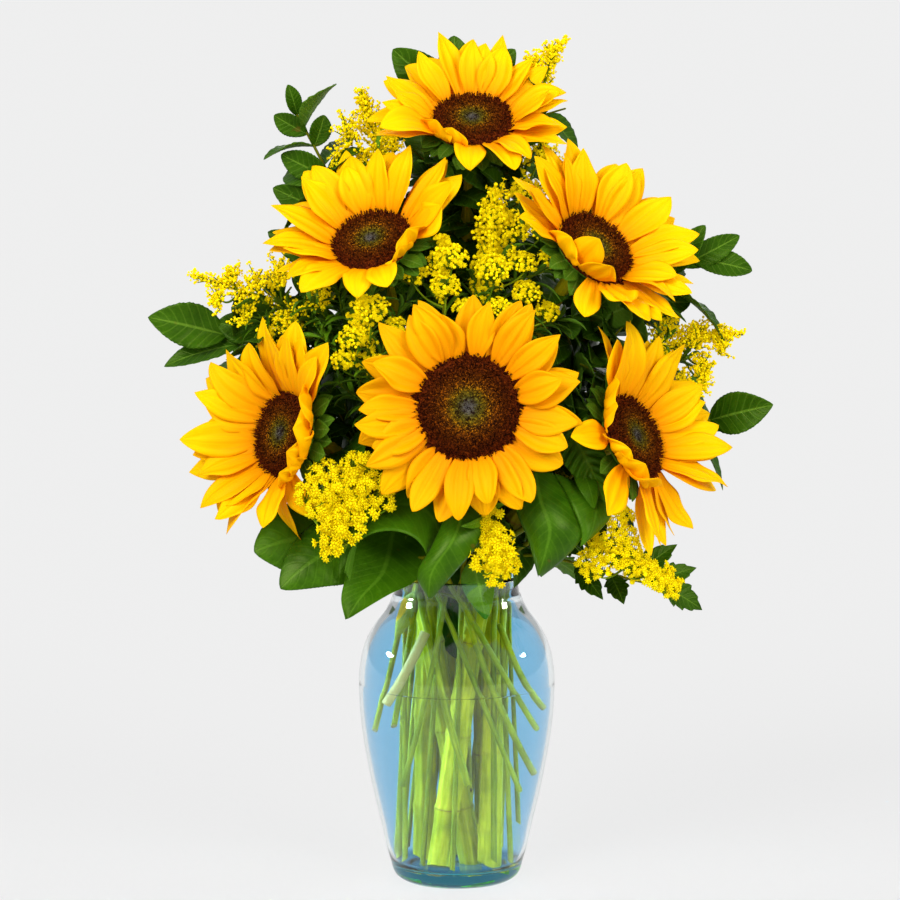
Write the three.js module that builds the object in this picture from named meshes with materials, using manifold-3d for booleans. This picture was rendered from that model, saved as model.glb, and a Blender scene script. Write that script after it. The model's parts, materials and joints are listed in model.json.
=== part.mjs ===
// Six sunflowers with goldenrod and mixed greens in a thick glass vase of water.
// Millimetres, +Z up, +Y away from the viewer. The origin is the middle of the vase's flat foot.
import * as THREE from "three";
import { mergeVertices } from "three/addons/utils/BufferGeometryUtils.js";
import Module from "manifold-3d";

const wasm = await Module();
wasm.setup();

// ---------- driving dimensions ----------

const GAP = 0.3; // clearance between pieces that touch
const WATER_GAP = 0.4; // clearance between the water and the glass or a stem
const VASE_SEGMENTS = 28;
const WALL = 4; // glass wall of the body
const COLLAR_WALL = 3.2; // glass wall at the neck
const COLLAR_FROM = 195; // height where the thinner neck begins
const FLOOR = 11; // top of the solid glass base
const FLOOR_EDGE = 4; // width of the rounded edge of the floor
const RIM_HEIGHT = 222;
const WATER_LEVEL = 143;
const PROFILE_STEP = 5; // least height between the last two points of the water's outline

// Outside of the vase as [height, radius], from the foot to the rim.
const VASE_OUTSIDE = [
  [0, 40], [3, 44.3], [14, 48.4], [40, 54.8], [75, 62.7], [108, 68.4], [135, 70.7],
  [156, 70.2], [173, 66.2], [187, 58.7], [197, 49.6], [204, 45], [213, 44.4], [RIM_HEIGHT, 46.2],
];

// Sides of the bars that stems are made of, and the number of steps in their bends.
const THICK_SIDES = 8;
const THIN_SIDES = 6;
const PLUME_SIDES = 7;
const SUNFLOWER_STEPS = 7;
const GOLDENROD_STEPS = 5;
const GREEN_STEPS = 6;
const STALK_STEPS = 3;

const SUNFLOWER_STEM = 6.5; // radius in the vase
const SUNFLOWER_NECK = 4.6; // radius just behind the bloom
const RECEPTACLE = 15; // depth of the green cup behind a bloom
const RAY_THICKNESS = 1.6;
const RAY_LOBES = 14;
const RAY_NOTCH = 0.55; // where the notch between two rays ends, as a share of their length
const RAY_HOLD = 0.86; // where the rays are held under the disc, as a share of its radius
const DISC_DOME = 6;

// Each sunflower: middle of its disc, the way it faces, radius of the disc, length of the rays,
// their forward slope and how much steeper it is at the back, and its stem's rim and foot points.
const SUNFLOWERS = [
  { name: "center", at: [8, -100, 357], faces: [-0.05, -0.985, 0.16], disc: 38, rays: 46,
    slope: 0.14, swing: 0.06, rim: [17, -20], foot: [-13, -22] },
  { name: "top", at: [11, -8, 550], faces: [0, -0.567, 0.824], disc: 30, rays: 47,
    slope: 0.34, swing: 0.2, rim: [-2, 26], foot: [4, 25] },
  { name: "upper_left", at: [-60, -45, 468], faces: [-0.22, -0.61, 0.755], disc: 30, rays: 50,
    slope: 0.48, swing: 0.22, rim: [-21, 16], foot: [-23, 13] },
  { name: "upper_right", at: [97, -45, 463], faces: [0.5, -0.557, 0.646], disc: 31, rays: 50,
    slope: 0.48, swing: 0.22, rim: [18, 19], foot: [22, 13] },
  { name: "left", at: [-122, -60, 333], faces: [-0.75, -0.583, 0.239], disc: 31.5, rays: 52,
    slope: 0.48, swing: 0.22, rim: [-26, -5], foot: [10, -2] },
  { name: "right", at: [124, -60, 331], faces: [0.757, -0.479, 0.407], disc: 32, rays: 53,
    slope: 0.48, swing: 0.22, rim: [28, -3], foot: [23, -14] },
];

// How far a stem runs on straight above the rim, and how far it is straight again before its end,
// as shares of the distance between them.
const THICK_BEND = { launch: 0.4, approach: 0.24 };
const THIN_BEND = { launch: 0.35, approach: 0.35 };
const JOIN = 3; // a plume or blade starts this far inside the end of its stem

// Most thin stems stand round the outside of the bunch: they cross the rim on one ring, and their
// feet are on a wider ring, turned further round, so that neighbours lean alike and never touch.
const RIM_RING = 38;
const FOOT_RING = 44;
const FOOT_TURN = 35; // degrees from where a stem crosses the rim to where its foot is
const FOOT_LIFT = 18; // height of those feet, on the rounded edge of the floor

const onRing = (angle, radius) => [
  radius * Math.cos(THREE.MathUtils.degToRad(angle)),
  radius * Math.sin(THREE.MathUtils.degToRad(angle)),
];

const outside = (angle) => ({
  rim: onRing(angle, RIM_RING),
  foot: [...onRing(angle + FOOT_TURN, FOOT_RING), FOOT_LIFT],
});

const GOLDENROD_STEM = 1.9;
// Each goldenrod: the points of its plume from the lowest side branch to the tip, the plume's
// radius, and where its stem crosses the rim and ends, on the floor or against the glass.
const GOLDENRODS = [
  { name: "top_right", plume: [[48, 36, 500], [60, 38, 565], [78, 34, 606]], radius: 9,
    ...outside(59) },
  { name: "upper_left", plume: [[-42, 26, 500], [-58, 24, 535], [-68, 20, 569]], radius: 16,
    ...outside(124) },
  { name: "middle", plume: [[16, -42, 424], [26, -40, 462], [28, -36, 502]], radius: 21,
    rim: [4, 6], foot: [-6, 8] },
  { name: "middle_left", plume: [[-10, -56, 428], [-12, -56, 450], [-8, -52, 472]], radius: 11,
    rim: [-8, 8], foot: [-12, 14] },
  { name: "left", plume: [[-92, -12, 396], [-140, -18, 424], [-189, -18, 440]], radius: 24,
    ...outside(164) },
  { name: "right", plume: [[124, 24, 366], [162, 16, 388], [205, 4, 396]], radius: 19, ...outside(7) },
  { name: "front_left", plume: [[-56, -86, 316], [-78, -106, 294], [-88, -110, 262]], radius: 19,
    rim: [-17, -34], foot: [44, -34, 72] },
  { name: "front", plume: [[22, -86, 272], [28, -98, 258], [28, -104, 244]], radius: 14,
    rim: [4, -29], foot: [-3, -32] },
  { name: "front_right", plume: [[92, -34, 254], [128, -52, 238], [154, -56, 222]], radius: 14,
    rim: [31, -21], foot: [38, -16, 14] },
  { name: "inner_left", plume: [[-56, -58, 374], [-66, -62, 402], [-66, -58, 430]], radius: 13,
    rim: [-10, -16], foot: [-24, -14] },
  { name: "back", plume: [[10, 70, 415], [0, 78, 455], [-10, 78, 500]], radius: 17, ...outside(85) },
];

const GREEN_STEM = 1.7;
const LEAF_THICKNESS = 0.9;
const LEAF_CUP = 0.12; // how far a leaf's edges rise, as a share of its half width
const LEAF_ARCH = 0.12; // how far its middle rises, as a share of its length
const LAST_LEAF = 0.995; // where the end leaf starts, as a share of the stem
const GREEN_CLIMB = 0.6; // how steeply a branch ends, as a share of the way up to its end
// Each leafy branch: the end of its stem, the rim and foot as above, and its leaves as
// [share of the stem, tip, half width, the way its upper side faces].
const GREENS = [
  { name: "left", end: [-168, 2, 398], ...outside(178),
    leaves: [
      [1, [-221, 0, 409], 16, [0, -1, 0.3]],
      [0.97, [-210, 4, 373], 11, [-0.2, -0.7, 0.7]],
      [0.86, [-150, 26, 360], 12, [0, 0.3, 1]],
      [0.8, [-112, 45, 380], 13, [0, 1, 0.5]],
    ] },
  { name: "upper_left", end: [-117, 28, 556], ...outside(150),
    leaves: [
      [1, [-121, 22, 574], 6, [0.4, -1, 0]],
      [0.97, [-131, 24, 552], 8, [-0.6, -1, 0.2]],
      [0.95, [-95, 26, 552], 8, [0.4, -1, 0.4]],
      [0.91, [-126, 22, 524], 10, [-0.5, -1, 0.3]],
      [0.89, [-86, 24, 524], 10, [0.5, -1, 0.3]],
      [0.84, [-132, 22, 500], 12, [-0.4, -1, 0.3]],
      [0.8, [-76, 34, 506], 11, [0.3, 0.3, 1]],
      [0.76, [-136, 26, 468], 13, [-0.4, -1, 0.3]],
      [0.68, [-104, 56, 440], 13, [0, 1, 0.5]],
    ] },
  { name: "top", end: [0, 56, 570], ...outside(98),
    leaves: [
      [1, [-2, 62, 607], 13, [0, -1, 0.4]],
      [0.98, [-46, 46, 598], 16, [-0.3, -1, 0.4]],
      [0.97, [42, 46, 598], 14, [0.3, -1, 0.4]],
      [0.93, [-38, 16, 550], 12, [-0.3, -0.6, 0.6]],
      [0.92, [74, 6, 540], 13, [0.3, -0.6, 0.5]],
      [0.86, [38, 84, 530], 13, [0.2, 1, 0.4]],
      [0.84, [-36, 84, 520], 13, [-0.2, 1, 0.4]],
    ] },
  { name: "right_upper", end: [172, 20, 452], ...outside(33),
    leaves: [
      [1, [212, 14, 441], 10, [0.2, -1, 0.5]],
      [0.98, [203, 18, 466], 9, [0, -1, 0.1]],
      [0.96, [178, 12, 474], 9, [-0.3, -1, 0.3]],
      [0.9, [168, 16, 418], 12, [0.3, -1, 0.4]],
      [0.82, [120, 62, 440], 13, [0.2, 1, 0.5]],
    ] },
  { name: "right", end: [186, 22, 333], ...outside(20),
    leaves: [
      [1, [227, 0, 346], 15, [0.1, -1, 0.3]],
      [0.93, [186, 34, 372], 13, [0, 0.6, 1]],
      [0.85, [150, 34, 300], 13, [0.2, 0.6, 1]],
      [0.7, [92, 62, 330], 14, [0.2, 1, 0.4]],
    ] },
  { name: "low_right", end: [148, -30, 220], rim: [36, -11], foot: [44, 2, 40],
    leaves: [
      [1, [176, -20, 200], 10, [0.3, -1, 0.5]],
      [0.97, [172, -16, 230], 8, [0.2, -1, 0.5]],
      [0.93, [158, -16, 247], 9, [0, -1, 0.5]],
      [0.88, [119, -42, 208], 8, [0.2, -1, 0.2]],
      [0.8, [104, -46, 212], 8, [0, -1, 0.2]],
      [0.72, [98, 2, 212], 10, [0, 0.6, 0.9]],
    ] },
  { name: "back_left", end: [-78, 84, 372], ...outside(111),
    leaves: [
      [1, [-112, 98, 400], 16, [-0.3, 1, 0.4]],
      [0.94, [-120, 78, 348], 15, [-0.6, 0.8, 0.4]],
      [0.86, [-56, 116, 378], 15, [0, 1, 0.3]],
      [0.74, [-98, 84, 296], 16, [-0.4, 0.9, 0.5]],
      [0.62, [-30, 98, 318], 15, [0.2, 1, 0.3]],
    ] },
  { name: "back_right", end: [68, 88, 384], ...outside(72),
    leaves: [
      [1, [92, 96, 424], 16, [0.2, 1, 0.3]],
      [0.94, [112, 86, 362], 15, [0.6, 0.8, 0.4]],
      [0.86, [36, 118, 366], 15, [0, 1, 0.3]],
      [0.74, [98, 88, 300], 16, [0.4, 0.9, 0.5]],
      [0.62, [22, 100, 300], 14, [-0.2, 1, 0.3]],
    ] },
];

const BROAD_STALK = 2.1;
const BROAD_THICKNESS = 1.4;
// Each broad leaf that is bent over the rim: the points of its midrib, half width, the way the
// upper side faces at the bend, and the rim and foot of its stalk.
const BROAD_LEAVES = [
  { name: "left", midrib: [[-46, -40, 250], [-98, -64, 270], [-143, -68, 250]], half: 36,
    faces: [-0.3, -1, 0.4], rim: [-32, -15], foot: [-58, -8, 110] },
  { name: "front_left", midrib: [[-36, -54, 244], [-46, -88, 262], [-74, -98, 208]], half: 22,
    faces: [-0.3, -0.9, 0.5], rim: [-26, -24], foot: [-44, -32, 118] },
  { name: "front", midrib: [[-2, -60, 256], [-6, -78, 250], [-20, -84, 212]], half: 15,
    faces: [0.2, -1, 0.3], rim: [-5, -37], foot: [58, -30, 116] },
  { name: "right", midrib: [[54, -48, 266], [112, -84, 288], [56, -88, 224]], half: 31,
    faces: [0.3, -1, 0.4], rim: [26, -28], foot: [26, -26, 18] },
  { name: "back_left", midrib: [[-32, 52, 256], [-66, 84, 268], [-86, 96, 232]], half: 26,
    faces: [-0.4, 1, 0.4], ...outside(137) },
  { name: "back_right", midrib: [[34, 52, 256], [62, 84, 266], [82, 96, 228]], half: 26,
    faces: [0.4, 1, 0.4], ...outside(46) },
];

// ---------- materials ----------

const finish = (color, roughness, metalness = 0) =>
  new THREE.MeshStandardMaterial({ color, roughness, metalness });
const GLASS = finish(0x9fd0ee, 0.05);
const WATER = finish(0xbfe2f2, 0.05);
const STEM_GREEN = finish(0x8fb63a, 0.5);
const RAY_YELLOW = finish(0xffc400, 0.55);
const DISC_BROWN = finish(0x4a1c06, 0.9);
const PLUME_YELLOW = finish(0xf2cf10, 0.8);
const LEAF_GREEN = finish(0x2f6d12, 0.4);

// ---------- solids ----------

const vec = (values) => new THREE.Vector3(...values);

// A closed surface through rings of points, each ring counter-clockwise seen from the last ring.
// Its ends are closed by flat fans, or joined to each other when the rings go round in a loop.
// The first few sides of a thin solid can be split along their other diagonal, so that its two
// faces bend alike.
function solidFromRings(rings, { loop = false, mirroredSides = 0 } = {}) {
  const sides = rings[0].length;
  const points = rings.flat();
  const faces = [];
  const spans = loop ? rings.length : rings.length - 1;
  for (let i = 0; i < spans; i += 1) {
    const here = i * sides;
    const next = ((i + 1) % rings.length) * sides;
    for (let j = 0; j < sides; j += 1) {
      const k = (j + 1) % sides;
      if (j < mirroredSides) {
        faces.push(here + j, here + k, next + j, here + k, next + k, next + j);
      } else {
        faces.push(here + j, here + k, next + k, here + j, next + k, next + j);
      }
    }
  }
  if (!loop) {
    const last = (rings.length - 1) * sides;
    for (let j = 1; j < sides - 1; j += 1) {
      faces.push(0, j + 1, j, last, last + j, last + j + 1);
    }
  }
  const geometry = new THREE.BufferGeometry().setFromPoints(points);
  geometry.setIndex(faces);
  return geometry;
}

function toManifold(geometry) {
  const bare = new THREE.BufferGeometry();
  bare.setAttribute("position", geometry.getAttribute("position"));
  bare.setIndex(geometry.index);
  const merged = mergeVertices(bare, 1e-4);
  return new wasm.Manifold(new wasm.Mesh({
    numProp: 3,
    vertProperties: new Float32Array(merged.attributes.position.array),
    triVerts: new Uint32Array(merged.index.array),
  }));
}

function toGeometry(solid) {
  const mesh = solid.getMesh();
  const geometry = new THREE.BufferGeometry();
  geometry.setAttribute("position", new THREE.BufferAttribute(mesh.vertProperties, 3));
  geometry.setIndex(new THREE.BufferAttribute(mesh.triVerts, 1));
  return geometry;
}

function joined(geometries) {
  const [first, ...rest] = geometries.map(toManifold);
  return toGeometry(rest.reduce((sum, solid) => sum.add(solid), first));
}

// A round bar along a path. stations holds [share of the path's length, radius] pairs.
function bar(path, stations, sides) {
  let across = null;
  const rings = stations.map(([share, radius]) => {
    const centre = path.getPointAt(share);
    const along = path.getTangentAt(share);
    if (!across) across = new THREE.Vector3(0, 1, 0).cross(along);
    across.addScaledVector(along, -across.dot(along)).normalize();
    const up = along.clone().cross(across);
    return Array.from({ length: sides }, (_, j) => {
      const turn = (2 * Math.PI * j) / sides;
      return centre.clone()
        .addScaledVector(across, radius * Math.cos(turn))
        .addScaledVector(up, radius * Math.sin(turn));
    });
  });
  return solidFromRings(rings);
}

// ---------- vase and water ----------

// The inside of the glass as [height, radius], a wall's thickness in from the outside.
const VASE_INSIDE = VASE_OUTSIDE.map(([height, radius], i) => {
  const [z0, r0] = VASE_OUTSIDE[Math.max(0, i - 1)];
  const [z1, r1] = VASE_OUTSIDE[Math.min(VASE_OUTSIDE.length - 1, i + 1)];
  const length = Math.hypot(z1 - z0, r1 - r0);
  const wall = height >= COLLAR_FROM ? COLLAR_WALL : WALL;
  return [height + (wall * (r1 - r0)) / length, radius - (wall * (z1 - z0)) / length];
}).filter(([height]) => height > FLOOR + 2);
VASE_INSIDE[VASE_INSIDE.length - 1][0] = RIM_HEIGHT;

// Radius of the inside of the glass at a height.
function insideAt(height) {
  const above = VASE_INSIDE.findIndex(([z]) => z >= height);
  if (above <= 0) return VASE_INSIDE[0][1];
  const [z0, r0] = VASE_INSIDE[above - 1];
  const [z1, r1] = VASE_INSIDE[above];
  return r0 + ((r1 - r0) * (height - z0)) / (z1 - z0);
}

const FLOOR_RADIUS = insideAt(FLOOR) - FLOOR_EDGE; // the floor's flat part

function turned(profile) {
  const points = profile.map(([z, r]) => new THREE.Vector2(r, z));
  return new THREE.LatheGeometry(points, VASE_SEGMENTS).rotateX(Math.PI / 2);
}

function vaseGeometry() {
  const profile = [
    [0, 0], ...VASE_OUTSIDE, ...VASE_INSIDE.slice().reverse(), [FLOOR, FLOOR_RADIUS], [FLOOR, 0],
  ];
  return turned(profile);
}

function waterGeometry(stems) {
  const wetPoints = VASE_INSIDE.filter(([z]) => z < WATER_LEVEL - PROFILE_STEP);
  const side = wetPoints.map(([z, r]) => [z, r - WATER_GAP]);
  const surface = insideAt(WATER_LEVEL) - WATER_GAP;
  const bottom = FLOOR + GAP;
  const profile = [
    [bottom, 0], [bottom, FLOOR_RADIUS - GAP], ...side, [WATER_LEVEL, surface], [WATER_LEVEL, 0],
  ];
  const wet = stems.reduce(
    (water, stem) => water.subtract(toManifold(tunnel(stem))), toManifold(turned(profile)));
  const [largest] = wet.decompose().sort((a, b) => b.volume() - a.volume());
  return toGeometry(largest);
}

// The room that a stem takes up in the water, from below its foot to above the surface.
function tunnel({ foot, rim, radius, sides }) {
  const lean = rim.clone().sub(foot).normalize();
  const from = foot.clone().addScaledVector(lean, -2 * radius);
  const path = new THREE.LineCurve3(from, rim);
  const wide = (radius + WATER_GAP) / Math.cos(Math.PI / sides);
  return bar(path, [[0, wide], [1, wide]], sides);
}

// ---------- stems ----------

// The foot of a stem: standing on the floor, or at its own height against the glass.
function footOf(foot, rim, radius) {
  const [x, y, z = FLOOR] = foot;
  const at = new THREE.Vector3(x, y, z);
  const lean = rim.clone().sub(at).normalize();
  const dip = radius * Math.hypot(lean.x, lean.y);
  at.z = Math.max(z, FLOOR + GAP + dip);
  const room = insideAt(at.z - dip) * Math.cos(Math.PI / VASE_SEGMENTS) - radius - GAP;
  const out = Math.hypot(x, y);
  if (out > room) at.set((x * room) / out, (y * room) / out, at.z);
  return at;
}

// A stem's path: straight from its foot to the rim, then one bend that arrives along a direction.
function stemPath(foot, rim, end, arrives, { launch, approach }) {
  const lean = rim.clone().sub(foot).normalize();
  const reach = rim.distanceTo(end);
  const path = new THREE.CurvePath();
  path.add(new THREE.LineCurve3(foot, rim));
  path.add(new THREE.CubicBezierCurve3(
    rim,
    rim.clone().addScaledVector(lean, launch * reach),
    end.clone().addScaledVector(arrives, -approach * reach),
    end,
  ));
  return path;
}

// Shares of a path's length: none in the straight part, then steps through the bend.
function stepsAlong(path, steps) {
  const straight = path.curves[0].getLength() / path.getLength();
  const bend = Array.from({ length: steps }, (_, i) => straight + ((1 - straight) * (i + 1)) / steps);
  return [0, straight, ...bend];
}

const wetStems = []; // every stem that stands in the water

function plantStem(plant, radius, sides, end, arrives, bend) {
  const rim = new THREE.Vector3(...plant.rim, RIM_HEIGHT);
  const foot = footOf(plant.foot, rim, radius);
  wetStems.push({ foot, rim, radius, sides });
  return stemPath(foot, rim, end, arrives, bend);
}

// ---------- sunflowers ----------

// Turns a shape built along +Z to face along a direction, with its +Y turned away from the viewer.
function facing(geometry, at, direction) {
  const away = new THREE.Vector3(0, 1, 0).addScaledVector(direction, -direction.y).normalize();
  const across = away.clone().cross(direction);
  return geometry.applyMatrix4(new THREE.Matrix4().makeBasis(across, away, direction).setPosition(at));
}

const ring = (count, radiusAt, heightAt) => Array.from({ length: count }, (_, j) => {
  const turn = (2 * Math.PI * j) / count;
  const radius = radiusAt(j);
  return new THREE.Vector3(radius * Math.cos(turn), radius * Math.sin(turn), heightAt(radius));
});

// A wheel of rays as one cupped dish with a notched edge, steepest towards +Y.
function raysGeometry({ disc, rays, slope, swing }) {
  const count = 2 * RAY_LOBES;
  const low = -2 * GAP - RAY_THICKNESS;
  const hold = RAY_HOLD * disc;
  const wide = disc + 1;
  const edge = (lift, inset) => Array.from({ length: count }, (_, j) => {
    const turn = (2 * Math.PI * j) / count;
    const climb = Math.atan(slope + swing * Math.sin(turn));
    const length = (j % 2 ? RAY_NOTCH : 1) * rays - inset;
    const radius = disc + length * Math.cos(climb);
    const height = low + length * Math.sin(climb) + lift;
    return new THREE.Vector3(radius * Math.cos(turn), radius * Math.sin(turn), height);
  });
  return solidFromRings([
    ring(count, () => hold, () => low),
    ring(count, () => wide, () => low),
    edge(0.3 * RAY_THICKNESS, 0),
    edge(RAY_THICKNESS, 0.2),
    ring(count, () => wide, () => low + RAY_THICKNESS),
    ring(count, () => hold, () => low + RAY_THICKNESS),
  ], { loop: true });
}

function discGeometry({ disc }) {
  const dome = [[1, -GAP], [1, 1.5], [0.82, 0.75 * DISC_DOME], [0.45, DISC_DOME], [0.2, DISC_DOME - 1]];
  return solidFromRings(dome.map(([share, height]) => ring(16, () => share * disc, () => height)));
}

function receptacleGeometry({ disc }) {
  const top = -3 * GAP - RAY_THICKNESS;
  const cup = [[0.16, top - RECEPTACLE], [0.5, top - 0.8 * RECEPTACLE], [0.98, top - 3], [0.94, top]];
  return solidFromRings(cup.map(([share, height]) => ring(14, () => share * disc, () => height)));
}

function addSunflower(group, flower) {
  const at = vec(flower.at);
  const direction = vec(flower.faces).normalize();
  const back = at.clone().addScaledVector(direction, -RECEPTACLE);
  const path = plantStem(flower, SUNFLOWER_STEM, THICK_SIDES, back, direction, THICK_BEND);
  const stations = stepsAlong(path, SUNFLOWER_STEPS).map((share, i, all) => {
    const above = Math.max(0, share - all[1]) / (1 - all[1]);
    return [share, SUNFLOWER_STEM + (SUNFLOWER_NECK - SUNFLOWER_STEM) * above];
  });
  const name = `sunflower_${flower.name}`;
  const receptacle = facing(receptacleGeometry(flower), at, direction);
  addNode(group, `${name}_stem`, joined([bar(path, stations, THICK_SIDES), receptacle]), STEM_GREEN);
  addNode(group, `${name}_rays`, facing(raysGeometry(flower), at, direction), RAY_YELLOW);
  addNode(group, `${name}_disc`, facing(discGeometry(flower), at, direction), DISC_BROWN);
}

// ---------- goldenrod ----------

const PLUME_SHAPE = [0.35, 0.9, 1, 0.78, 0.42, 0.12]; // radius along a plume, as shares

function addGoldenrod(group, sprig) {
  const [base, middle, tip] = sprig.plume.map(vec);
  const arrives = middle.clone().sub(base).normalize();
  const path = plantStem(sprig, GOLDENROD_STEM, THIN_SIDES, base, arrives, THIN_BEND);
  const along = stepsAlong(path, GOLDENROD_STEPS).map((share) => [share, GOLDENROD_STEM]);
  const stem = bar(path, along, THIN_SIDES);
  const start = base.clone().addScaledVector(arrives, -JOIN);
  const plumePath = new THREE.CatmullRomCurve3([start, middle, tip]);
  const stations = PLUME_SHAPE.map((share, i) => [i / (PLUME_SHAPE.length - 1), share * sprig.radius]);
  const plume = bar(plumePath, stations, PLUME_SIDES);
  addNode(group, `goldenrod_${sprig.name}`, joined([stem, plume]), PLUME_YELLOW);
}

// ---------- leaves ----------

const BLADE_SHAPE = [0.05, 0.62, 1, 0.82, 0.4, 0.03]; // half width along a leaf, as shares

// A thin leaf along a midrib, its upper side facing a direction.
function blade(midrib, half, faces, thickness = LEAF_THICKNESS) {
  const rings = BLADE_SHAPE.map((share, i) => {
    const t = i / (BLADE_SHAPE.length - 1);
    const centre = midrib.getPoint(t);
    const along = midrib.getTangent(t);
    const side = along.clone().cross(faces).normalize();
    const up = side.clone().cross(along);
    const wide = Math.max(0.8, share * half);
    const lift = LEAF_CUP * wide;
    return [
      centre.clone().addScaledVector(side, wide).addScaledVector(up, lift),
      centre.clone().addScaledVector(up, -thickness / 2),
      centre.clone().addScaledVector(side, -wide).addScaledVector(up, lift),
      centre.clone().addScaledVector(up, thickness / 2),
    ];
  });
  return solidFromRings(rings, { mirroredSides: 2 });
}

function leafTo(base, tip, half, faces) {
  const arch = LEAF_ARCH * base.distanceTo(tip);
  const middle = base.clone().lerp(tip, 0.5).addScaledVector(faces, arch);
  return blade(new THREE.QuadraticBezierCurve3(base, middle, tip), half, faces);
}

function addGreen(group, branch) {
  const end = vec(branch.end);
  const climb = GREEN_CLIMB * (end.z - RIM_HEIGHT);
  const outward = new THREE.Vector3(end.x, end.y, climb).normalize();
  const path = plantStem(branch, GREEN_STEM, THIN_SIDES, end, outward, THIN_BEND);
  const along = stepsAlong(path, GREEN_STEPS).map((share) => [share, GREEN_STEM * (1.1 - 0.4 * share)]);
  const leaves = branch.leaves.map(([share, tip, half, faces]) =>
    leafTo(path.getPointAt(share * LAST_LEAF), vec(tip), half, vec(faces).normalize()));
  addNode(group, `green_${branch.name}`, joined([bar(path, along, THIN_SIDES), ...leaves]), LEAF_GREEN);
}

function addBroadLeaf(group, leaf) {
  const [base, bend, tip] = leaf.midrib.map(vec);
  const faces = vec(leaf.faces).normalize();
  const arrives = bend.clone().sub(base).normalize();
  const path = plantStem(leaf, BROAD_STALK, THIN_SIDES, base, arrives, THIN_BEND);
  const along = stepsAlong(path, STALK_STEPS).map((share) => [share, BROAD_STALK]);
  const stalk = bar(path, along, THIN_SIDES);
  const start = base.clone().addScaledVector(arrives, -JOIN);
  const midrib = new THREE.QuadraticBezierCurve3(start, bend, tip);
  const leafBlade = blade(midrib, leaf.half, faces, BROAD_THICKNESS);
  addNode(group, `broad_leaf_${leaf.name}`, joined([stalk, leafBlade]), LEAF_GREEN);
}

// ---------- assembly ----------

function addNode(group, name, geometry, material) {
  const mesh = new THREE.Mesh(geometry, material);
  mesh.name = name;
  group.add(mesh);
}

const bouquet = new THREE.Group();
addNode(bouquet, "vase", vaseGeometry(), GLASS);
SUNFLOWERS.forEach((flower) => addSunflower(bouquet, flower));
GOLDENRODS.forEach((sprig) => addGoldenrod(bouquet, sprig));
GREENS.forEach((branch) => addGreen(bouquet, branch));
BROAD_LEAVES.forEach((leaf) => addBroadLeaf(bouquet, leaf));
addNode(bouquet, "water", waterGeometry(wetStems), WATER);

export default bouquet;
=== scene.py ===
"""A bouquet of six sunflowers, goldenrod and mixed greens in a glass vase of water.

+Z is up, and +Y points away from the viewer. Shapes are worked out in millimetres, as the
construction states them, and become metres when a mesh is made.
"""
import json
import math
import zlib
from collections import namedtuple

import bpy
import numpy as np
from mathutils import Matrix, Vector

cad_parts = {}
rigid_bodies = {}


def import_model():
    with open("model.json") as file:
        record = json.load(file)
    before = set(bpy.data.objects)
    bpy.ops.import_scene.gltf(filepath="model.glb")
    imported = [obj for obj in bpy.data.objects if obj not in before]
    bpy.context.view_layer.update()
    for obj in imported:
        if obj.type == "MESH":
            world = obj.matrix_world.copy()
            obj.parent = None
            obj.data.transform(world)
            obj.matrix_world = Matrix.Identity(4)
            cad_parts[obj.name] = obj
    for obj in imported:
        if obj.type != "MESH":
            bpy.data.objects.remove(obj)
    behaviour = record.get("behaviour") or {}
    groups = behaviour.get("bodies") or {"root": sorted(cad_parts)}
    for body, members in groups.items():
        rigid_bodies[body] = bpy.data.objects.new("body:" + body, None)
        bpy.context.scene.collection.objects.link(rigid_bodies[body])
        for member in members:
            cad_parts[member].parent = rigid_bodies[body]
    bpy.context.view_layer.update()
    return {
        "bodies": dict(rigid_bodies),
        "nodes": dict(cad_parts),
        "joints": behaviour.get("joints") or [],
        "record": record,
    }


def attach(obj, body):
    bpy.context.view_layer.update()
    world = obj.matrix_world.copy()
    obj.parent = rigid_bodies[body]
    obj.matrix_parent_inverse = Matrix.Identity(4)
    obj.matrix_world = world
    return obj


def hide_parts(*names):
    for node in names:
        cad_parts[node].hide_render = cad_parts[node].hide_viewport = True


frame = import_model()

MM = 0.001
UP = np.array([0.0, 0.0, 1.0])
FULL_TURN = 2 * math.pi
GOLDEN_TURN = math.pi * (3 - math.sqrt(5))  # from one leaf or floret of a spiral to the next

# ---------- driving dimensions, in millimetres, as in the construction ----------

GAP = 0.3
WALL = 4
COLLAR_WALL = 3.2
COLLAR_FROM = 195
FLOOR = 11
FLOOR_EDGE = 4
RIM_HEIGHT = 222
WATER_LEVEL = 143
VASE_SEGMENTS = 28
VASE_OUTSIDE = [
    (0, 40), (3, 44.3), (14, 48.4), (40, 54.8), (75, 62.7), (108, 68.4), (135, 70.7), (156, 70.2),
    (173, 66.2), (187, 58.7), (197, 49.6), (204, 45), (213, 44.4), (RIM_HEIGHT, 46.2),
]
THICK_BEND = (0.4, 0.24)
THIN_BEND = (0.35, 0.35)
JOIN = 3
RIM_RING = 38
FOOT_RING = 44
FOOT_TURN = 35
FOOT_LIFT = 18

SUNFLOWER_STEM = 6.5
SUNFLOWER_NECK = 4.6
RECEPTACLE = 15
RAY_THICKNESS = 1.6
GOLDENROD_STEM = 1.9
GREEN_STEM = 1.7
GREEN_CLIMB = 0.6
LAST_LEAF = 0.995
LEAF_ARCH = 0.12
BROAD_STALK = 2.1


def on_ring(angle, radius):
    turn = math.radians(angle)
    return (radius * math.cos(turn), radius * math.sin(turn))


def outside(angle):
    """Where a stem of the outer ring crosses the rim and where its foot is."""
    return {"rim": on_ring(angle, RIM_RING),
            "foot": (*on_ring(angle + FOOT_TURN, FOOT_RING), FOOT_LIFT)}


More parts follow.
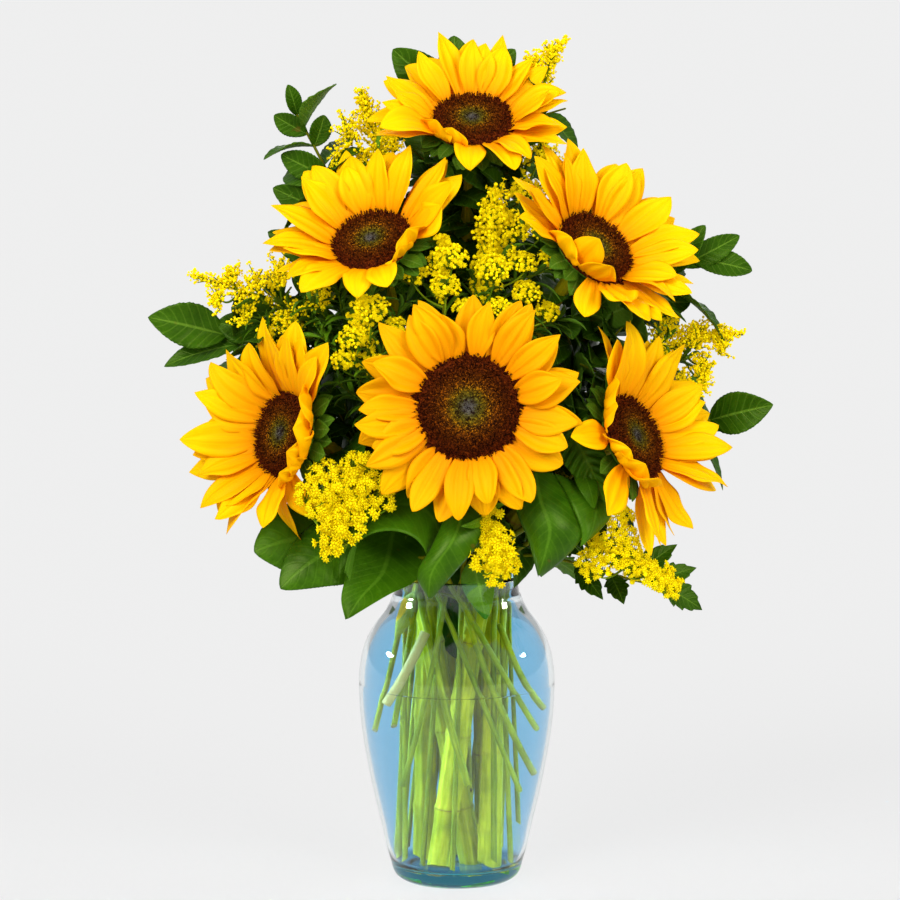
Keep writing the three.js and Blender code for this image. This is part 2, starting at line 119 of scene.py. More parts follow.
SUNFLOWERS = {
    "center": dict(at=(8, -100, 357), faces=(-0.05, -0.985, 0.16), disc=38, rays=46,
                   slope=0.14, swing=0.06, rim=(17, -20), foot=(-13, -22)),
    "top": dict(at=(11, -8, 550), faces=(0, -0.567, 0.824), disc=30, rays=47,
                slope=0.34, swing=0.2, rim=(-2, 26), foot=(4, 25)),
    "upper_left": dict(at=(-60, -45, 468), faces=(-0.22, -0.61, 0.755), disc=30, rays=50,
                       slope=0.48, swing=0.22, rim=(-21, 16), foot=(-23, 13)),
    "upper_right": dict(at=(97, -45, 463), faces=(0.5, -0.557, 0.646), disc=31, rays=50,
                        slope=0.48, swing=0.22, rim=(18, 19), foot=(22, 13)),
    "left": dict(at=(-122, -60, 333), faces=(-0.75, -0.583, 0.239), disc=31.5, rays=52,
                 slope=0.48, swing=0.22, rim=(-26, -5), foot=(10, -2)),
    "right": dict(at=(124, -60, 331), faces=(0.757, -0.479, 0.407), disc=32, rays=53,
                  slope=0.48, swing=0.22, rim=(28, -3), foot=(23, -14)),
}

GOLDENRODS = {
    "top_right": dict(plume=[(48, 36, 500), (60, 38, 565), (78, 34, 606)], radius=9, **outside(59)),
    "upper_left": dict(plume=[(-42, 26, 500), (-58, 24, 535), (-68, 20, 569)], radius=16,
                       **outside(124)),
    "middle": dict(plume=[(16, -42, 424), (26, -40, 462), (28, -36, 502)], radius=21,
                   rim=(4, 6), foot=(-6, 8)),
    "middle_left": dict(plume=[(-10, -56, 428), (-12, -56, 450), (-8, -52, 472)], radius=11,
                        rim=(-8, 8), foot=(-12, 14)),
    "left": dict(plume=[(-92, -12, 396), (-140, -18, 424), (-189, -18, 440)], radius=24,
                 **outside(164)),
    "right": dict(plume=[(124, 24, 366), (162, 16, 388), (205, 4, 396)], radius=19, **outside(7)),
    "front_left": dict(plume=[(-56, -86, 316), (-78, -106, 294), (-88, -110, 262)], radius=19,
                       rim=(-17, -34), foot=(44, -34, 72)),
    "front": dict(plume=[(22, -86, 272), (28, -98, 258), (28, -104, 244)], radius=14,
                  rim=(4, -29), foot=(-3, -32)),
    "front_right": dict(plume=[(92, -34, 254), (128, -52, 238), (154, -56, 222)], radius=14,
                        rim=(31, -21), foot=(38, -16, 14)),
    "inner_left": dict(plume=[(-56, -58, 374), (-66, -62, 402), (-66, -58, 430)], radius=13,
                       rim=(-10, -16), foot=(-24, -14)),
    "back": dict(plume=[(10, 70, 415), (0, 78, 455), (-10, 78, 500)], radius=17, **outside(85)),
}

# Leaves as (share of the stem, tip, half width, the way the upper side faces).
GREENS = {
    "left": dict(end=(-168, 2, 398), **outside(178), leaves=[
        (1, (-221, 0, 409), 16, (0, -1, 0.3)),
        (0.97, (-210, 4, 373), 11, (-0.2, -0.7, 0.7)),
        (0.86, (-150, 26, 360), 12, (0, 0.3, 1)),
        (0.8, (-112, 45, 380), 13, (0, 1, 0.5))]),
    "upper_left": dict(end=(-117, 28, 556), **outside(150), leaves=[
        (1, (-121, 22, 574), 6, (0.4, -1, 0)),
        (0.97, (-131, 24, 552), 8, (-0.6, -1, 0.2)),
        (0.95, (-95, 26, 552), 8, (0.4, -1, 0.4)),
        (0.91, (-126, 22, 524), 10, (-0.5, -1, 0.3)),
        (0.89, (-86, 24, 524), 10, (0.5, -1, 0.3)),
        (0.84, (-132, 22, 500), 12, (-0.4, -1, 0.3)),
        (0.8, (-76, 34, 506), 11, (0.3, 0.3, 1)),
        (0.76, (-136, 26, 468), 13, (-0.4, -1, 0.3)),
        (0.68, (-104, 56, 440), 13, (0, 1, 0.5))]),
    "top": dict(end=(0, 56, 570), **outside(98), leaves=[
        (1, (-2, 62, 607), 13, (0, -1, 0.4)),
        (0.98, (-46, 46, 598), 16, (-0.3, -1, 0.4)),
        (0.97, (42, 46, 598), 14, (0.3, -1, 0.4)),
        (0.93, (-38, 16, 550), 12, (-0.3, -0.6, 0.6)),
        (0.92, (74, 6, 540), 13, (0.3, -0.6, 0.5)),
        (0.86, (38, 84, 530), 13, (0.2, 1, 0.4)),
        (0.84, (-36, 84, 520), 13, (-0.2, 1, 0.4))]),
    "right_upper": dict(end=(172, 20, 452), **outside(33), leaves=[
        (1, (212, 14, 441), 10, (0.2, -1, 0.5)),
        (0.98, (203, 18, 466), 9, (0, -1, 0.1)),
        (0.96, (178, 12, 474), 9, (-0.3, -1, 0.3)),
        (0.9, (168, 16, 418), 12, (0.3, -1, 0.4)),
        (0.82, (120, 62, 440), 13, (0.2, 1, 0.5))]),
    "right": dict(end=(186, 22, 333), **outside(20), leaves=[
        (1, (227, 0, 346), 15, (0.1, -1, 0.3)),
        (0.93, (186, 34, 372), 13, (0, 0.6, 1)),
        (0.85, (150, 34, 300), 13, (0.2, 0.6, 1)),
        (0.7, (92, 62, 330), 14, (0.2, 1, 0.4))]),
    "low_right": dict(end=(148, -30, 220), rim=(36, -11), foot=(44, 2, 40), leaves=[
        (1, (176, -20, 200), 10, (0.3, -1, 0.5)),
        (0.97, (172, -16, 230), 8, (0.2, -1, 0.5)),
        (0.93, (158, -16, 247), 9, (0, -1, 0.5)),
        (0.88, (119, -42, 208), 8, (0.2, -1, 0.2)),
        (0.8, (104, -46, 212), 8, (0, -1, 0.2)),
        (0.72, (98, 2, 212), 10, (0, 0.6, 0.9))]),
    "back_left": dict(end=(-78, 84, 372), **outside(111), leaves=[
        (1, (-112, 98, 400), 16, (-0.3, 1, 0.4)),
        (0.94, (-120, 78, 348), 15, (-0.6, 0.8, 0.4)),
        (0.86, (-56, 116, 378), 15, (0, 1, 0.3)),
        (0.74, (-98, 84, 296), 16, (-0.4, 0.9, 0.5)),
        (0.62, (-30, 98, 318), 15, (0.2, 1, 0.3))]),
    "back_right": dict(end=(68, 88, 384), **outside(72), leaves=[
        (1, (92, 96, 424), 16, (0.2, 1, 0.3)),
        (0.94, (112, 86, 362), 15, (0.6, 0.8, 0.4)),
        (0.86, (36, 118, 366), 15, (0, 1, 0.3)),
        (0.74, (98, 88, 300), 16, (0.4, 0.9, 0.5)),
        (0.62, (22, 100, 300), 14, (-0.2, 1, 0.3))]),
}

BROAD_LEAVES = {
    "left": dict(midrib=[(-46, -40, 250), (-98, -64, 270), (-143, -68, 250)], half=36,
                 faces=(-0.3, -1, 0.4), rim=(-32, -15), foot=(-58, -8, 110)),
    "front_left": dict(midrib=[(-36, -54, 244), (-46, -88, 262), (-74, -98, 208)], half=22,
                       faces=(-0.3, -0.9, 0.5), rim=(-26, -24), foot=(-44, -32, 118)),
    "front": dict(midrib=[(-2, -60, 256), (-6, -78, 250), (-20, -84, 212)], half=15,
                  faces=(0.2, -1, 0.3), rim=(-5, -37), foot=(58, -30, 116)),
    "right": dict(midrib=[(54, -48, 266), (112, -84, 288), (56, -88, 224)], half=31,
                  faces=(0.3, -1, 0.4), rim=(26, -28), foot=(26, -26, 18)),
    "back_left": dict(midrib=[(-32, 52, 256), (-66, 84, 268), (-86, 96, 232)], half=26,
                      faces=(-0.4, 1, 0.4), **outside(137)),
    "back_right": dict(midrib=[(34, 52, 256), (62, 84, 266), (82, 96, 228)], half=26,
                       faces=(0.4, 1, 0.4), **outside(46)),
}

# Heights over which heart leaves, side heads, side twigs, a sprig's and a branch's own leaves begin.
HEART_LEAVES_FROM = RIM_HEIGHT + 18
HEADS_FROM = RIM_HEIGHT + 8
TWIGS_FROM = RIM_HEIGHT + 6
SPRIG_LEAVES_FROM = RIM_HEIGHT + 24
BRANCH_LEAVES_FROM = RIM_HEIGHT + 22

# ---------- vectors and curves ----------


def vec(values):
    """Numbers as an array, to reckon with."""
    return np.array(values, float)


def unit(v):
    """Vectors at a length of 1."""
    v = np.asarray(v, float)
    return v / np.maximum(np.linalg.norm(v, axis=-1, keepdims=True), 1e-9)


def smooth(low, high, x):
    """A soft step: 0 where x is at low, 1 where it is at high."""
    t = np.clip((np.asarray(x, float) - low) / (high - low), 0, 1)
    return t * t * (3 - 2 * t)


def bezier(points, count):
    """count points along the Bezier curve of any number of control points."""
    t = np.linspace(0, 1, count)[:, None]
    rows = [vec(p)[None, :] for p in points]
    while len(rows) > 1:
        rows = [a * (1 - t) + b * t for a, b in zip(rows, rows[1:])]
    return rows[0]


def through(a, b, c, count):
    """count points along the parabola through three points."""
    t = np.linspace(0, 1, count)[:, None]
    a, b, c = vec(a), vec(b), vec(c)
    return a * (1 - t) * (1 - 2 * t) + b * 4 * t * (1 - t) + c * t * (2 * t - 1)


def lengths(path):
    """How far along the path each of its points is."""
    steps = np.linalg.norm(np.diff(path, axis=0), axis=1)
    return np.concatenate([[0], np.cumsum(steps)])


def points_at(path, distances):
    """The points at some distances along a path."""
    return np.stack([np.interp(distances, lengths(path), path[:, k]) for k in range(3)], axis=1)


def evenly(path, count):
    """The same line with count points at even distances."""
    return points_at(path, np.linspace(0, lengths(path)[-1], count))


def tangents(path):
    return unit(np.gradient(path, axis=0))


def frames_along(path):
    """Unit vectors along, across and over a path, without sudden turns."""
    along = tangents(path)
    first = np.cross(along[0], UP)
    if np.linalg.norm(first) < 0.1:
        first = np.cross(along[0], [0, 1, 0])
    across = [unit(first)]
    for direction in along[1:]:
        last = across[-1]
        across.append(unit(last - direction * np.dot(last, direction)))
    across = np.array(across)
    return along, across, np.cross(along, across)


def rolled(side, over, angle):
    """Two unit vectors, turned about the third."""
    return side * np.cos(angle) + over * np.sin(angle), over * np.cos(angle) - side * np.sin(angle)


def outward(across, over, turn):
    """The direction away from a stem at some turn round it."""
    return across * math.cos(turn) + over * math.sin(turn)


def nearest(points, target):
    """The number of the point that is nearest to a target."""
    return int(np.argmin(np.linalg.norm(points - target, axis=1)))


def first_above(path, height):
    """The number of the first point of a path that is above a height."""
    return int(np.argmax(path[:, 2] > height))


def ring_points(radius, height, angles):
    """Points round an axis, one at each angle, with one radius and height or with one for each."""
    return np.column_stack([radius * np.cos(angles), radius * np.sin(angles), height + 0 * angles])


def even_angles(count):
    """Angles of a full turn in equal steps."""
    return np.arange(count) * FULL_TURN / count


def turn_between(a, b):
    """The angle between two turns, in degrees."""
    return abs((a - b + 180) % 360 - 180)


def seeded(name):
    """Random draws that are the same each time for one name."""
    return np.random.default_rng(zlib.crc32(name.encode()))


# ---------- meshes ----------


class Shape:
    """Points and faces, with what the materials read from them, before one mesh is made."""

    def __init__(self):
        self.points, self.uvs, self.tones, self.marks = [], [], [], []
        self.faces, self.slots = [], []
        self.count = 0

    def add(self, points, faces, uvs=None, tone=0.5, mark=0.0, slot=0):
        points = np.asarray(points, float).reshape(-1, 3)
        size = len(points)
        uvs = np.zeros((size, 2)) if uvs is None else np.asarray(uvs, float).reshape(-1, 2)
        self.points.append(points)
        self.uvs.append(uvs)
        self.tones.append(np.broadcast_to(np.asarray(tone, float).ravel(), (size,)))
        self.marks.append(np.broadcast_to(np.asarray(mark, float).ravel(), (size,)))
        self.add_faces(np.asarray(faces, int) + self.count, slot)
        self.count += size

    def add_faces(self, faces, slot):
        """Faces over points that are already here. One with its last corner doubled is a triangle."""
        doubled = faces[:, -2] == faces[:, -1]
        self.faces.extend(faces[~doubled].tolist())
        self.faces.extend(faces[doubled, :3].tolist())
        self.slots.append(np.full(len(faces), slot))

    def mesh(self, name):
        points = np.concatenate(self.points) * MM
        mesh = bpy.data.meshes.new(name)
        mesh.from_pydata(points.tolist(), [], self.faces)
        mesh.polygons.foreach_set("use_smooth", np.ones(len(self.faces), bool))
        mesh.polygons.foreach_set("material_index", np.concatenate(self.slots).astype(np.int32))
        corners = np.zeros(len(mesh.loops), np.int32)
        mesh.loops.foreach_get("vertex_index", corners)
        layer = mesh.uv_layers.new(name="shape")
        layer.data.foreach_set("uv", np.concatenate(self.uvs)[corners].ravel())
        for label, values in (("tone", self.tones), ("mark", self.marks)):
            attribute = mesh.attributes.new(label, "FLOAT", "POINT")
            attribute.data.foreach_set("value", np.concatenate(values))
        mesh.update()
        return mesh


def grid_faces(rows, columns, loop=False):
    """Quads over a grid of points, row by row. loop joins the last column to the first."""
    index = np.arange(rows * columns).reshape(rows, columns)
    following = np.roll(index, -1, axis=1) if loop else index[:, 1:]
    here = index if loop else index[:, :-1]
    quads = np.stack([here[:-1], here[1:], following[1:], following[:-1]], axis=-1)
    return quads.reshape(-1, 4)


def grid_normals(grid):
    along = np.gradient(grid, axis=0)
    across = np.gradient(grid, axis=1)
    return unit(np.cross(along, across))


THIN_EDGE = 0.35  # a leaf's or petal's thickness at its edge, as a share of the full one


def add_sheet(shape, grid, thickness, tone, slots=(0, 1)):
    """A thin closed leaf over a grid of points: upper side, lower side and the edge between them."""
    rows, columns = grid.shape[:2]
    normals = grid_normals(grid)
    edge = np.full((rows, columns, 1), THIN_EDGE)
    edge[1:-1, 1:-1] = 1
    half = normals * edge * thickness / 2
    s, t = np.meshgrid(np.linspace(0, 1, rows), np.linspace(0, 1, columns), indexing="ij")
    uvs = np.stack([s, t], axis=-1).reshape(-1, 2)
    size = rows * columns
    quads = grid_faces(rows, columns)
    index = np.arange(size).reshape(rows, columns)
    loop = np.concatenate([index[:-1, 0], index[-1, :-1], index[:0:-1, -1], index[0, :0:-1]])
    following = np.roll(loop, -1)
    rim = np.stack([following, loop, loop + size, following + size], axis=-1)
    points = np.concatenate([(grid + half).reshape(-1, 3), (grid - half).reshape(-1, 3)])
    start = shape.count
    shape.add(points, quads, np.concatenate([uvs, uvs]), tone, slot=slots[0])
    shape.add_faces(np.concatenate([quads[:, ::-1] + size, rim]) + start, slots[1])


def add_tube(shape, path, radii, sides, tone=0.5, mark=0.0, slot=0, ribs=0, rib=0.0, turn=0.0,
             ends=("flat", "flat"), tilt=0.0):
    """A closed round or ribbed bar along a path. A sharp end comes to a point, and a cut one is marked 2.

    tilt slants its first end."""
    rows = len(path)
    along, across, over = frames_along(path)
    angle = even_angles(sides)
    swell = 1 + rib * np.cos(ribs * angle + turn) if ribs else np.ones(sides)
    radii = np.broadcast_to(np.asarray(radii, float), (rows,))
    out = radii[:, None] * swell[None, :]
    x = (out * np.cos(angle))[..., None]
    y = (out * np.sin(angle))[..., None]
    points = path[:, None, :] + across[:, None, :] * x + over[:, None, :] * y
    points[0] += along[0] * (tilt * out[0] * np.cos(angle))[:, None]
    s = lengths(path)[:, None] + np.zeros(sides)[None, :]
    t = np.broadcast_to(angle / FULL_TURN, (rows, sides))
    uvs = np.stack([s, t], axis=-1).reshape(-1, 2)
    marks = np.broadcast_to(np.asarray(mark, float).reshape(-1, 1), (rows, sides)).ravel()
    shape.add(points.reshape(-1, 3), grid_faces(rows, sides, loop=True)[:, ::-1], uvs, tone, marks, slot)
    fan = np.arange(sides)
    faces = np.stack([fan, np.roll(fan, -1), np.full(sides, sides)], axis=-1)
    for row, direction, end in ((0, -1, ends[0]), (rows - 1, 1, ends[1])):
        push = along[row] * direction * radii[row] * (1.2 if end == "sharp" else 0)
        middle = points[row].mean(axis=0) + push
        shape.add(np.concatenate([points[row], middle[None]]), faces[:, ::direction], tone=tone,
                  mark=2.0 if end == "cut" else 0.0, slot=slot)


def add_copies(shape, form, places, frames, sizes, tones, slot=0, glow=1.0):
    """Copies of a small form (points, faces, marks) at many places. glow scales each one's marks."""
    points, faces, marks = form
    count = len(places)
    sizes = np.asarray(sizes, float)
    sizes = sizes[:, None, None] if sizes.ndim == 1 else sizes[:, None, :]
    world = np.einsum("npk,nkj->npj", points[None] * sizes, frames) + places[:, None, :]
    size = len(points)
    step = (np.arange(count) * size)[:, None, None]
    all_faces = (faces[None] + step).reshape(-1, faces.shape[1])
    shape.add(world.reshape(-1, 3), all_faces, tone=np.repeat(tones, size),
              mark=(np.broadcast_to(glow, (count,))[:, None] * marks[None]).ravel(), slot=slot)


def make_piece(name, shape, materials, node):
    """One object of the bouquet, riding on its body and standing for its node of the construction."""
    piece = bpy.data.objects.new(name, shape.mesh(name))
    bpy.context.scene.collection.objects.link(piece)
    for material in materials:
        piece.data.materials.append(material)
    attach(piece, "root")
    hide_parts(node)


# ---------- materials ----------

# The deep orange a petal turns to by its tone: its own deeper colour, and painted shade on blooms given high
# tones.
PETAL_DEEP_AND_SHADE = (0.82, 0.24, 0.0)
LEAF_SPOT = (0.12, 0.06, 0.01)
SCAR_BROWN = (0.24, 0.09, 0.02)
CUT_CREAM = (0.46, 0.28, 0.08)
DISC_SHADE = (0.007, 0.001, 0.0)
CLEAR_SHINE = 0.07  # how much the glass and the water mirror
GREEN_SHINE = (0.8, 1.0, 0.3)  # a leaf's own tint in what it mirrors
STEM_SHINE = (0.9, 1.0, 0.2)  # and a stem's


class Paint:
    """Builds one material's nodes."""

    def __init__(self, name):
        self.material = bpy.data.materials.new(name)
        self.material.use_nodes = True
        self.tree = self.material.node_tree
        self.tree.nodes.clear()

    def put(self, kind, settings=None, **inputs):
        made = self.tree.nodes.new("ShaderNode" + kind)
        for key, value in (settings or {}).items():
            setattr(made, key, value)
        for key, value in inputs.items():
            name = int(key[1:]) if key[0] == "n" and key[1:].isdigit() else key.replace("_", " ")
            self.feed(made.inputs[name], value)
        return made

    def feed(self, socket, value):
        if isinstance(value, bpy.types.NodeSocket):
            self.tree.links.new(value, socket)
        elif isinstance(value, tuple) and len(value) == 3 and socket.type == "RGBA":
            socket.default_value = (*value, 1)
        else:
            socket.default_value = value

    def math(self, operation, a, b=0.0, clamp=False):
        return self.put("Math", {"operation": operation, "use_clamp": clamp}, n0=a, n1=b).outputs[0]

    def times(self, a, b):
        return self.math("MULTIPLY", a, b)

    def mix(self, factor, a, b):
        return self.put("Mix", {"data_type": "RGBA"}, n0=factor, n6=a, n7=b).outputs[2]

    def ramp(self, value, *stops):
        made = self.tree.nodes.new("ShaderNodeValToRGB")
        self.feed(made.inputs[0], value)
        elements = made.color_ramp.elements
        while len(elements) < len(stops):
            elements.new(0.5)
        for element, (place, colour) in zip(elements, stops):
            element.position = place
            element.color = (*colour, 1) if isinstance(colour, tuple) else (colour, colour, colour, 1)
        return made.outputs[0]

    def attribute(self, name):
        return self.put("Attribute", {"attribute_name": name}).outputs["Fac"]

    def uv(self):
        split = self.put("SeparateXYZ", n0=self.put("UVMap", {"uv_map": "shape"}).outputs[0])
        return split.outputs[0], split.outputs[1]

    def noise(self, vector, scale, detail, rough):
        return self.put("TexNoise", Vector=vector, Scale=scale, Detail=detail,
                        Roughness=rough).outputs[0]

    def stretched(self, along, across):
        """The shape's own two directions, stretched, for streaks along it that differ by its tone."""
        s, t = self.uv()
        tone = self.attribute("tone")
        return self.put("CombineXYZ", n0=self.times(s, along), n1=self.times(t, across),
                        n2=self.times(tone, 37.0)).outputs[0]

    def place(self):
        return self.put("TexCoord").outputs["Object"]

    def height(self):
        return self.put("SeparateXYZ", n0=self.place()).outputs[2]

    def spread(self, ground, colour, pattern, low, high, most):
        """A colour laid over the ground where a pattern is strong: none of it below low, most at high."""
        return self.mix(self.ramp(pattern, (low, 0.0), (high, most)), ground, colour)

    def surface(self, colour, rough, shine, **inputs):
        return self.put("BsdfPrincipled", Base_Color=colour, Roughness=rough, Specular_IOR_Level=shine,
                        **inputs)

    def bump(self, height, strength, distance):
        return self.put("Bump", Height=height, Strength=strength, Distance=distance).outputs[0]

    def finish(self, shader, other=None, share=None):
        """The material with one shader, or with a second one mixed in by a share."""
        if other is not None:
            shader = self.put("MixShader", n0=share, n1=shader.outputs[0], n2=other.outputs[0])
        self.put("OutputMaterial", Surface=shader.outputs[0])
        return self.material


def petal_material(name, base, middle, tip, through_light):
    """Yellow petal: deeper at its base, finely veined lengthwise, a little of the light shining through.

    A petal of a high tone is a deeper one: partly its own colour, and painted shade where a whole bloom is
    given high tones."""
    paint = Paint(name)
    s = paint.uv()[0]
    along = paint.ramp(s, (0.0, base), (0.3, middle), (0.75, tip), (1.0, tip))
    streaks = paint.noise(paint.stretched(2.2, 40.0), 1.0, 3.0, 0.6)
    broad = paint.noise(paint.stretched(1.3, 5.0), 1.0, 2.0, 0.5)
    pleats = paint.put("TexWave", {"wave_type": "BANDS", "bands_direction": "Y"},
                       Vector=paint.stretched(0.5, 1.6), Scale=1.0, Distortion=2.6, Detail=2.0,
                       Detail_Scale=1.0).outputs[1]
    inner = paint.ramp(s, (0.05, 1.0), (0.85, 0.1))
    lines = paint.times(paint.ramp(pleats, (0.0, 0.3), (0.4, 0.0)), inner)
    veins = paint.times(paint.ramp(streaks, (0.45, 0.0), (0.75, 0.45)), inner)
    veined = paint.mix(veins, paint.mix(lines, along, base), base)
    folded = paint.spread(veined, middle, broad, 0.42, 0.8, 0.5)
    # Deepened by tone: partly the petal's own colour, partly painted shade where a bloom is given high
    # tones.
    deep_and_shaded = paint.mix(paint.times(paint.attribute("tone"), 0.5), folded, PETAL_DEEP_AND_SHADE)
    normal = paint.bump(paint.math("ADD", paint.times(pleats, 0.8), streaks), 0.4, 0.0006)
    surface = paint.surface(deep_and_shaded, 0.5, 0.04, Normal=normal)
    return paint.finish(surface, paint.put("BsdfTranslucent", Color=deep_and_shaded, Normal=normal), through_light)


def leaf_material(name, dark, light, vein, gloss, veins=9.0, slant=3.2, vein_share=0.55, relief=0.35,
                  shine=0.16):
    """Green leaf: mottled, with a pale midrib and side veins that run out to the edge."""
    paint = Paint(name)
    s, t = paint.uv()
    tone = paint.attribute("tone")
    off = paint.math("ABSOLUTE", paint.math("SUBTRACT", t, 0.5))
    midrib = paint.ramp(off, (0.0, 1.0), (0.022, 0.85), (0.04, 0.0))
    side = paint.math("SUBTRACT", paint.times(s, veins), paint.times(off, slant))
    saw = paint.math("ABSOLUTE", paint.math("SUBTRACT", paint.math("FRACT", side), 0.5))
    lines = paint.ramp(saw, (0.0, 1.0), (0.05, 0.75), (0.13, 0.0))
    mottle = paint.noise(paint.place(), 60.0, 4.0, 0.6)
    cells = paint.noise(paint.place(), 620.0, 2.0, 0.6)
    ground = paint.spread(dark, light, mottle, 0.3, 0.7, 1.0)
    # Lighter by tone: mostly a leaf's own colour, with the low tone of the front-left flap as painted shade.
    ground = paint.mix(paint.times(tone, 0.6), ground, light)
    ground = paint.spread(ground, dark, cells, 0.42, 0.7, 0.35)
    lined = paint.mix(paint.times(lines, 0.4 * vein_share), ground, vein)
    coloured = paint.mix(paint.times(midrib, vein_share), lined, vein)
    spots = paint.noise(paint.place(), 95.0, 2.0, 0.5)
    coloured = paint.spread(coloured, LEAF_SPOT, spots, 0.72, 0.78, 0.5)
    height = paint.math("ADD", paint.times(lines, -0.8), paint.times(cells, 0.35))
    height = paint.math("SUBTRACT", height, paint.times(midrib, 1.2))
    rough = paint.ramp(mottle, (0.3, gloss), (0.8, gloss + 0.14))
    surface = paint.surface(coloured, rough, shine, Specular_Tint=GREEN_SHINE,
                            Normal=paint.bump(height, relief, 0.0006))
    return paint.finish(surface, paint.put("BsdfTranslucent", Color=light), 0.12)


def stem_material(name, pale, green, dark):
    """Ribbed green stem: long streaks, brown scars where mark is 1 and a cream cut where it is 2."""
    paint = Paint(name)
    mark = paint.attribute("mark")
    streaks = paint.noise(paint.stretched(0.03, 16.0), 1.0, 3.0, 0.6)
    patches = paint.noise(paint.place(), 45.0, 3.0, 0.6)
    ground = paint.spread(pale, green, streaks, 0.36, 0.66, 1.0)
    ground = paint.spread(ground, dark, patches, 0.44, 0.74, 0.75)
    specks = paint.noise(paint.place(), 700.0, 1.0, 0.5)
    ground = paint.spread(ground, dark, specks, 0.66, 0.76, 0.35)
    ground = paint.mix(paint.times(paint.attribute("tone"), 0.45), ground, dark)
    ground = paint.spread(ground, dark, paint.times(paint.height(), 2.0), 0.38, 0.5, 0.8)
    scar = paint.ramp(mark, (0.0, 0.0), (0.35, 0.15), (0.5, 1.0))
    scarred = paint.mix(paint.times(scar, 0.75), ground, SCAR_BROWN)
    coloured = paint.mix(paint.math("GREATER_THAN", mark, 1.5), scarred, CUT_CREAM)
    normal = paint.bump(paint.math("ADD", streaks, paint.times(specks, 0.3)), 0.4, 0.0008)
    return paint.finish(paint.surface(coloured, 0.42, 0.16, Specular_Tint=STEM_SHINE, Normal=normal))


def floret_material(name, low, high, tip, glow=0.0):
    """Many small florets: each has its own tone, and mark picks out their tips. glow makes them give off a
    little
    light in the tip colour: painted light, standing in for light that shines through them.
    """
    paint = Paint(name)
    tone = paint.attribute("tone")
    mark = paint.attribute("mark")
    # Lighter by tone: the florets of some sprigs are given high tones as painted light.
    ground = paint.mix(tone, low, high)
    grain = paint.noise(paint.place(), 900.0, 2.0, 0.6)
    coloured = paint.mix(mark, paint.spread(ground, low, grain, 0.4, 0.75, 0.35), tip)
    # glow: a painted light of the florets' own, in the tip colour.
    surface = paint.surface(coloured, 0.7, 0.08, Emission_Color=tip, Emission_Strength=glow,
                            Normal=paint.bump(grain, 0.3, 0.0003))
    return paint.finish(surface, paint.put("BsdfTranslucent", Color=coloured), 0.35)


def disc_material():
    """Disc florets: tone runs from the middle of the disc, 0, to its rim, 1."""
    paint = Paint("disc_florets")
    tone = paint.attribute("tone")
    mark = paint.attribute("mark")
    place = paint.place()
    ground = paint.ramp(tone, (0.0, (0.095, 0.085, 0.08)), (0.1, (0.07, 0.06, 0.045)),
                        (0.18, (0.07, 0.06, 0.006)), (0.32, (0.09, 0.056, 0.002)),
                        (0.42, (0.075, 0.024, 0.001)), (0.7, (0.080, 0.014, 0.001)),
                        (1.0, (0.085, 0.009, 0.001)))
    ground = paint.spread(ground, DISC_SHADE, paint.noise(place, 330.0, 3.0, 0.65), 0.36, 0.6, 0.95)
    ring = paint.ramp(tone, (0.0, 0.5), (0.24, 0.7), (0.42, 0.9), (0.65, 0.55), (1.0, 0.5))
    fleck = paint.ramp(tone, (0.0, (0.16, 0.15, 0.14)), (0.12, (0.11, 0.10, 0.05)),
                       (0.24, (0.19, 0.14, 0.004)), (0.35, (0.40, 0.17, 0.002)),
                       (0.5, (0.40, 0.10, 0.001)), (0.75, (0.30, 0.055, 0.001)),
                       (1.0, (0.22, 0.03, 0.001)))
    flecks = paint.ramp(paint.noise(place, 800.0, 2.0, 0.7), (0.54, 0.0), (0.62, 1.0))
    tips = paint.math("ADD", flecks, paint.times(mark, 0.7))
    lit = paint.math("MULTIPLY", tips, ring, clamp=True)
    return paint.finish(paint.surface(paint.mix(lit, ground, fleck), 0.8, 0.04))


def clear_material(name, colour, ior, foot_colour=None):
    """Glass, with its own colour in the foot, or water. Lamps shine through, so that the stems are lit."""
    paint = Paint(name)
    if foot_colour is not None:
        colour = paint.ramp(paint.times(paint.height(), 50.0), (0.5, foot_colour), (0.8, colour))
    surface = paint.surface(colour, 0.0, CLEAR_SHINE, IOR=ior, Transmission_Weight=1.0)
    clear = paint.put("BsdfTransparent", Color=(1.0, 1.0, 1.0))
    return paint.finish(surface, clear, paint.put("LightPath").outputs["Is Shadow Ray"])


def floor_material():
    """A light table: mostly its own even light, and a little of a matte surface for a faint shadow."""
    paint = Paint("floor")
    matte = paint.put("BsdfDiffuse", Color=(0.07, 0.07, 0.07))
    glow = paint.put("Emission", Color=(1.0, 1.0, 1.0), Strength=0.755)
    return paint.finish(paint.put("AddShader", n0=matte.outputs[0], n1=glow.outputs[0]))


CLEAR_GLASS = clear_material("glass_outside", (0.91, 0.965, 0.97), 1.5, (0.0, 0.24, 0.36))
BLUE_GLASS = clear_material("glass_inside", (0.24, 0.58, 0.86), 1.5, (0.0, 0.22, 0.42))
WATER = clear_material("water", (0.98, 0.99, 1.0), 1.02)
PETAL = petal_material("petal", (0.98, 0.30, 0.0), (1.0, 0.50, 0.0), (1.0, 0.68, 0.0), 0.3)
PETAL_BACK = petal_material("petal_back", (0.86, 0.36, 0.0), (0.97, 0.48, 0.0), (1.0, 0.58, 0.0), 0.3)
DISC = disc_material()
BRACT = leaf_material("bract", (0.02, 0.06, 0.002), (0.06, 0.14, 0.004), (0.14, 0.24, 0.03), 0.5)
STEM = stem_material("thick_stem", (0.92, 0.68, 0.03), (0.50, 0.40, 0.0), (0.18, 0.18, 0.001))
THIN_STEM = stem_material("thin_stem", (0.44, 0.36, 0.015), (0.23, 0.22, 0.002), (0.07, 0.09, 0.001))
